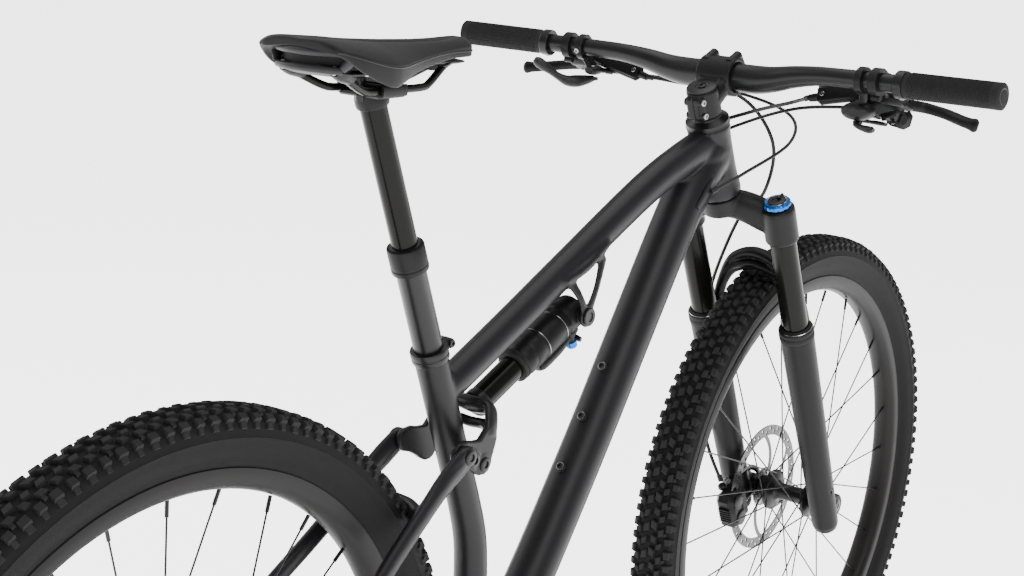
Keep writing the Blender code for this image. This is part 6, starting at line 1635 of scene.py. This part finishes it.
# ---------------------------------------------------------------- stage, light and camera
FLOOR_SIZE = 60.0
FLOOR_CELLS = 24
FLOOR_GLOW = 3.2
FLOOR_GAP = 0.001
WORLD_ON_BIKE = 0.55
WORLD_SEEN = 4.0
AIM = Vector((0.0, 0.0, 0.6))
# name, place, width, power, colour
LAMPS = (("key", (-1.6, -2.4, 3.2), 2.2, 70.0, (1.0, 0.99, 0.97)),
        ("fill", (2.8, -1.8, 1.6), 2.4, 12.0, (0.97, 0.98, 1.0)),
        ("back", (-0.4, 3.0, 2.4), 2.6, 50.0, (1.0, 1.0, 1.0)),
        ("top", (0.4, 0.0, 3.4), 2.6, 60.0, (1.0, 1.0, 1.0)))
EYE = Vector((-1.6285, -1.1396, 1.2122))
YAW, PITCH, ROLL = 0.5896, -0.2192, 0.0572
LENS, SENSOR = 64.39, 36.0
FRAME_SHIFT = (-0.087, -0.0061)
FAR_CLIP = 50.0


def build_stage():
    size = FLOOR_SIZE
    mesh = bpy.data.meshes.new("floor")
    points, faces = [], []
    count = FLOOR_CELLS
    for i in range(count + 1):
        for j in range(count + 1):
            points.append((size * (i / count - 0.5) + 1.0 + SHIFT.x, size * (j / count - 0.5) + 1.0,
                    SHIFT.z - FLOOR_GAP))
    for i in range(count):
        for j in range(count):
            a = i * (count + 1) + j
            faces.append((a, a + count + 1, a + count + 2, a + 1))
    mesh.from_pydata(points, [], faces)
    floor = bpy.data.objects.new("floor", mesh)
    bpy.context.scene.collection.objects.link(floor)
    white = surface("floor_white", (0.95, 0.95, 0.95), 0.8, 0.0, 0.01, 2.0, 0.03, specular=0.1)
    shader = white.node_tree.nodes["Principled BSDF"]
    shader.inputs["Emission Color"].default_value = (1.0, 1.0, 1.0, 1.0)
    shader.inputs["Emission Strength"].default_value = FLOOR_GLOW
    mesh.materials.append(white)

    world = bpy.data.worlds.new("studio")
    bpy.context.scene.world = world
    world.use_nodes = True
    sky = world.node_tree.nodes["Background"]
    sky.inputs["Color"].default_value = (1.0, 1.0, 1.0, 1.0)
    seen = world.node_tree.nodes.new("ShaderNodeLightPath")
    level = world.node_tree.nodes.new("ShaderNodeMapRange")
    level.inputs["To Min"].default_value = WORLD_ON_BIKE
    level.inputs["To Max"].default_value = WORLD_SEEN
    world.node_tree.links.new(seen.outputs["Is Camera Ray"], level.inputs["Value"])
    world.node_tree.links.new(level.outputs["Result"], sky.inputs["Strength"])
    target = AIM + SHIFT
    for name, at, width, power, colour in LAMPS:
        light = bpy.data.lights.new(name, "AREA")
        light.energy = power
        light.size = width
        light.color = colour
        lamp = bpy.data.objects.new(name, light)
        lamp.location = Vector(at) + SHIFT
        lamp.rotation_euler = (target - lamp.location).to_track_quat("-Z", "Y").to_euler()
        bpy.context.scene.collection.objects.link(lamp)


def build_camera():
    cam = bpy.data.cameras.new("camera")
    cam.sensor_width = SENSOR
    cam.lens = LENS
    cam.shift_x, cam.shift_y = FRAME_SHIFT
    cam.clip_end = FAR_CLIP
    holder = bpy.data.objects.new("camera", cam)
    look = Vector((math.cos(PITCH) * math.cos(YAW), math.cos(PITCH) * math.sin(YAW), math.sin(PITCH)))
    right = look.cross(UP).normalized()
    up = right.cross(look)
    right, up = (right * math.cos(ROLL) + up * math.sin(ROLL), up * math.cos(ROLL) - right * math.sin(ROLL))
    turn = Matrix((right, up, -look)).transposed()
    holder.matrix_world = Matrix.Translation(EYE + SHIFT) @ turn.to_4x4()
    bpy.context.scene.collection.objects.link(holder)
    bpy.context.scene.camera = holder


build_stage()
build_camera()
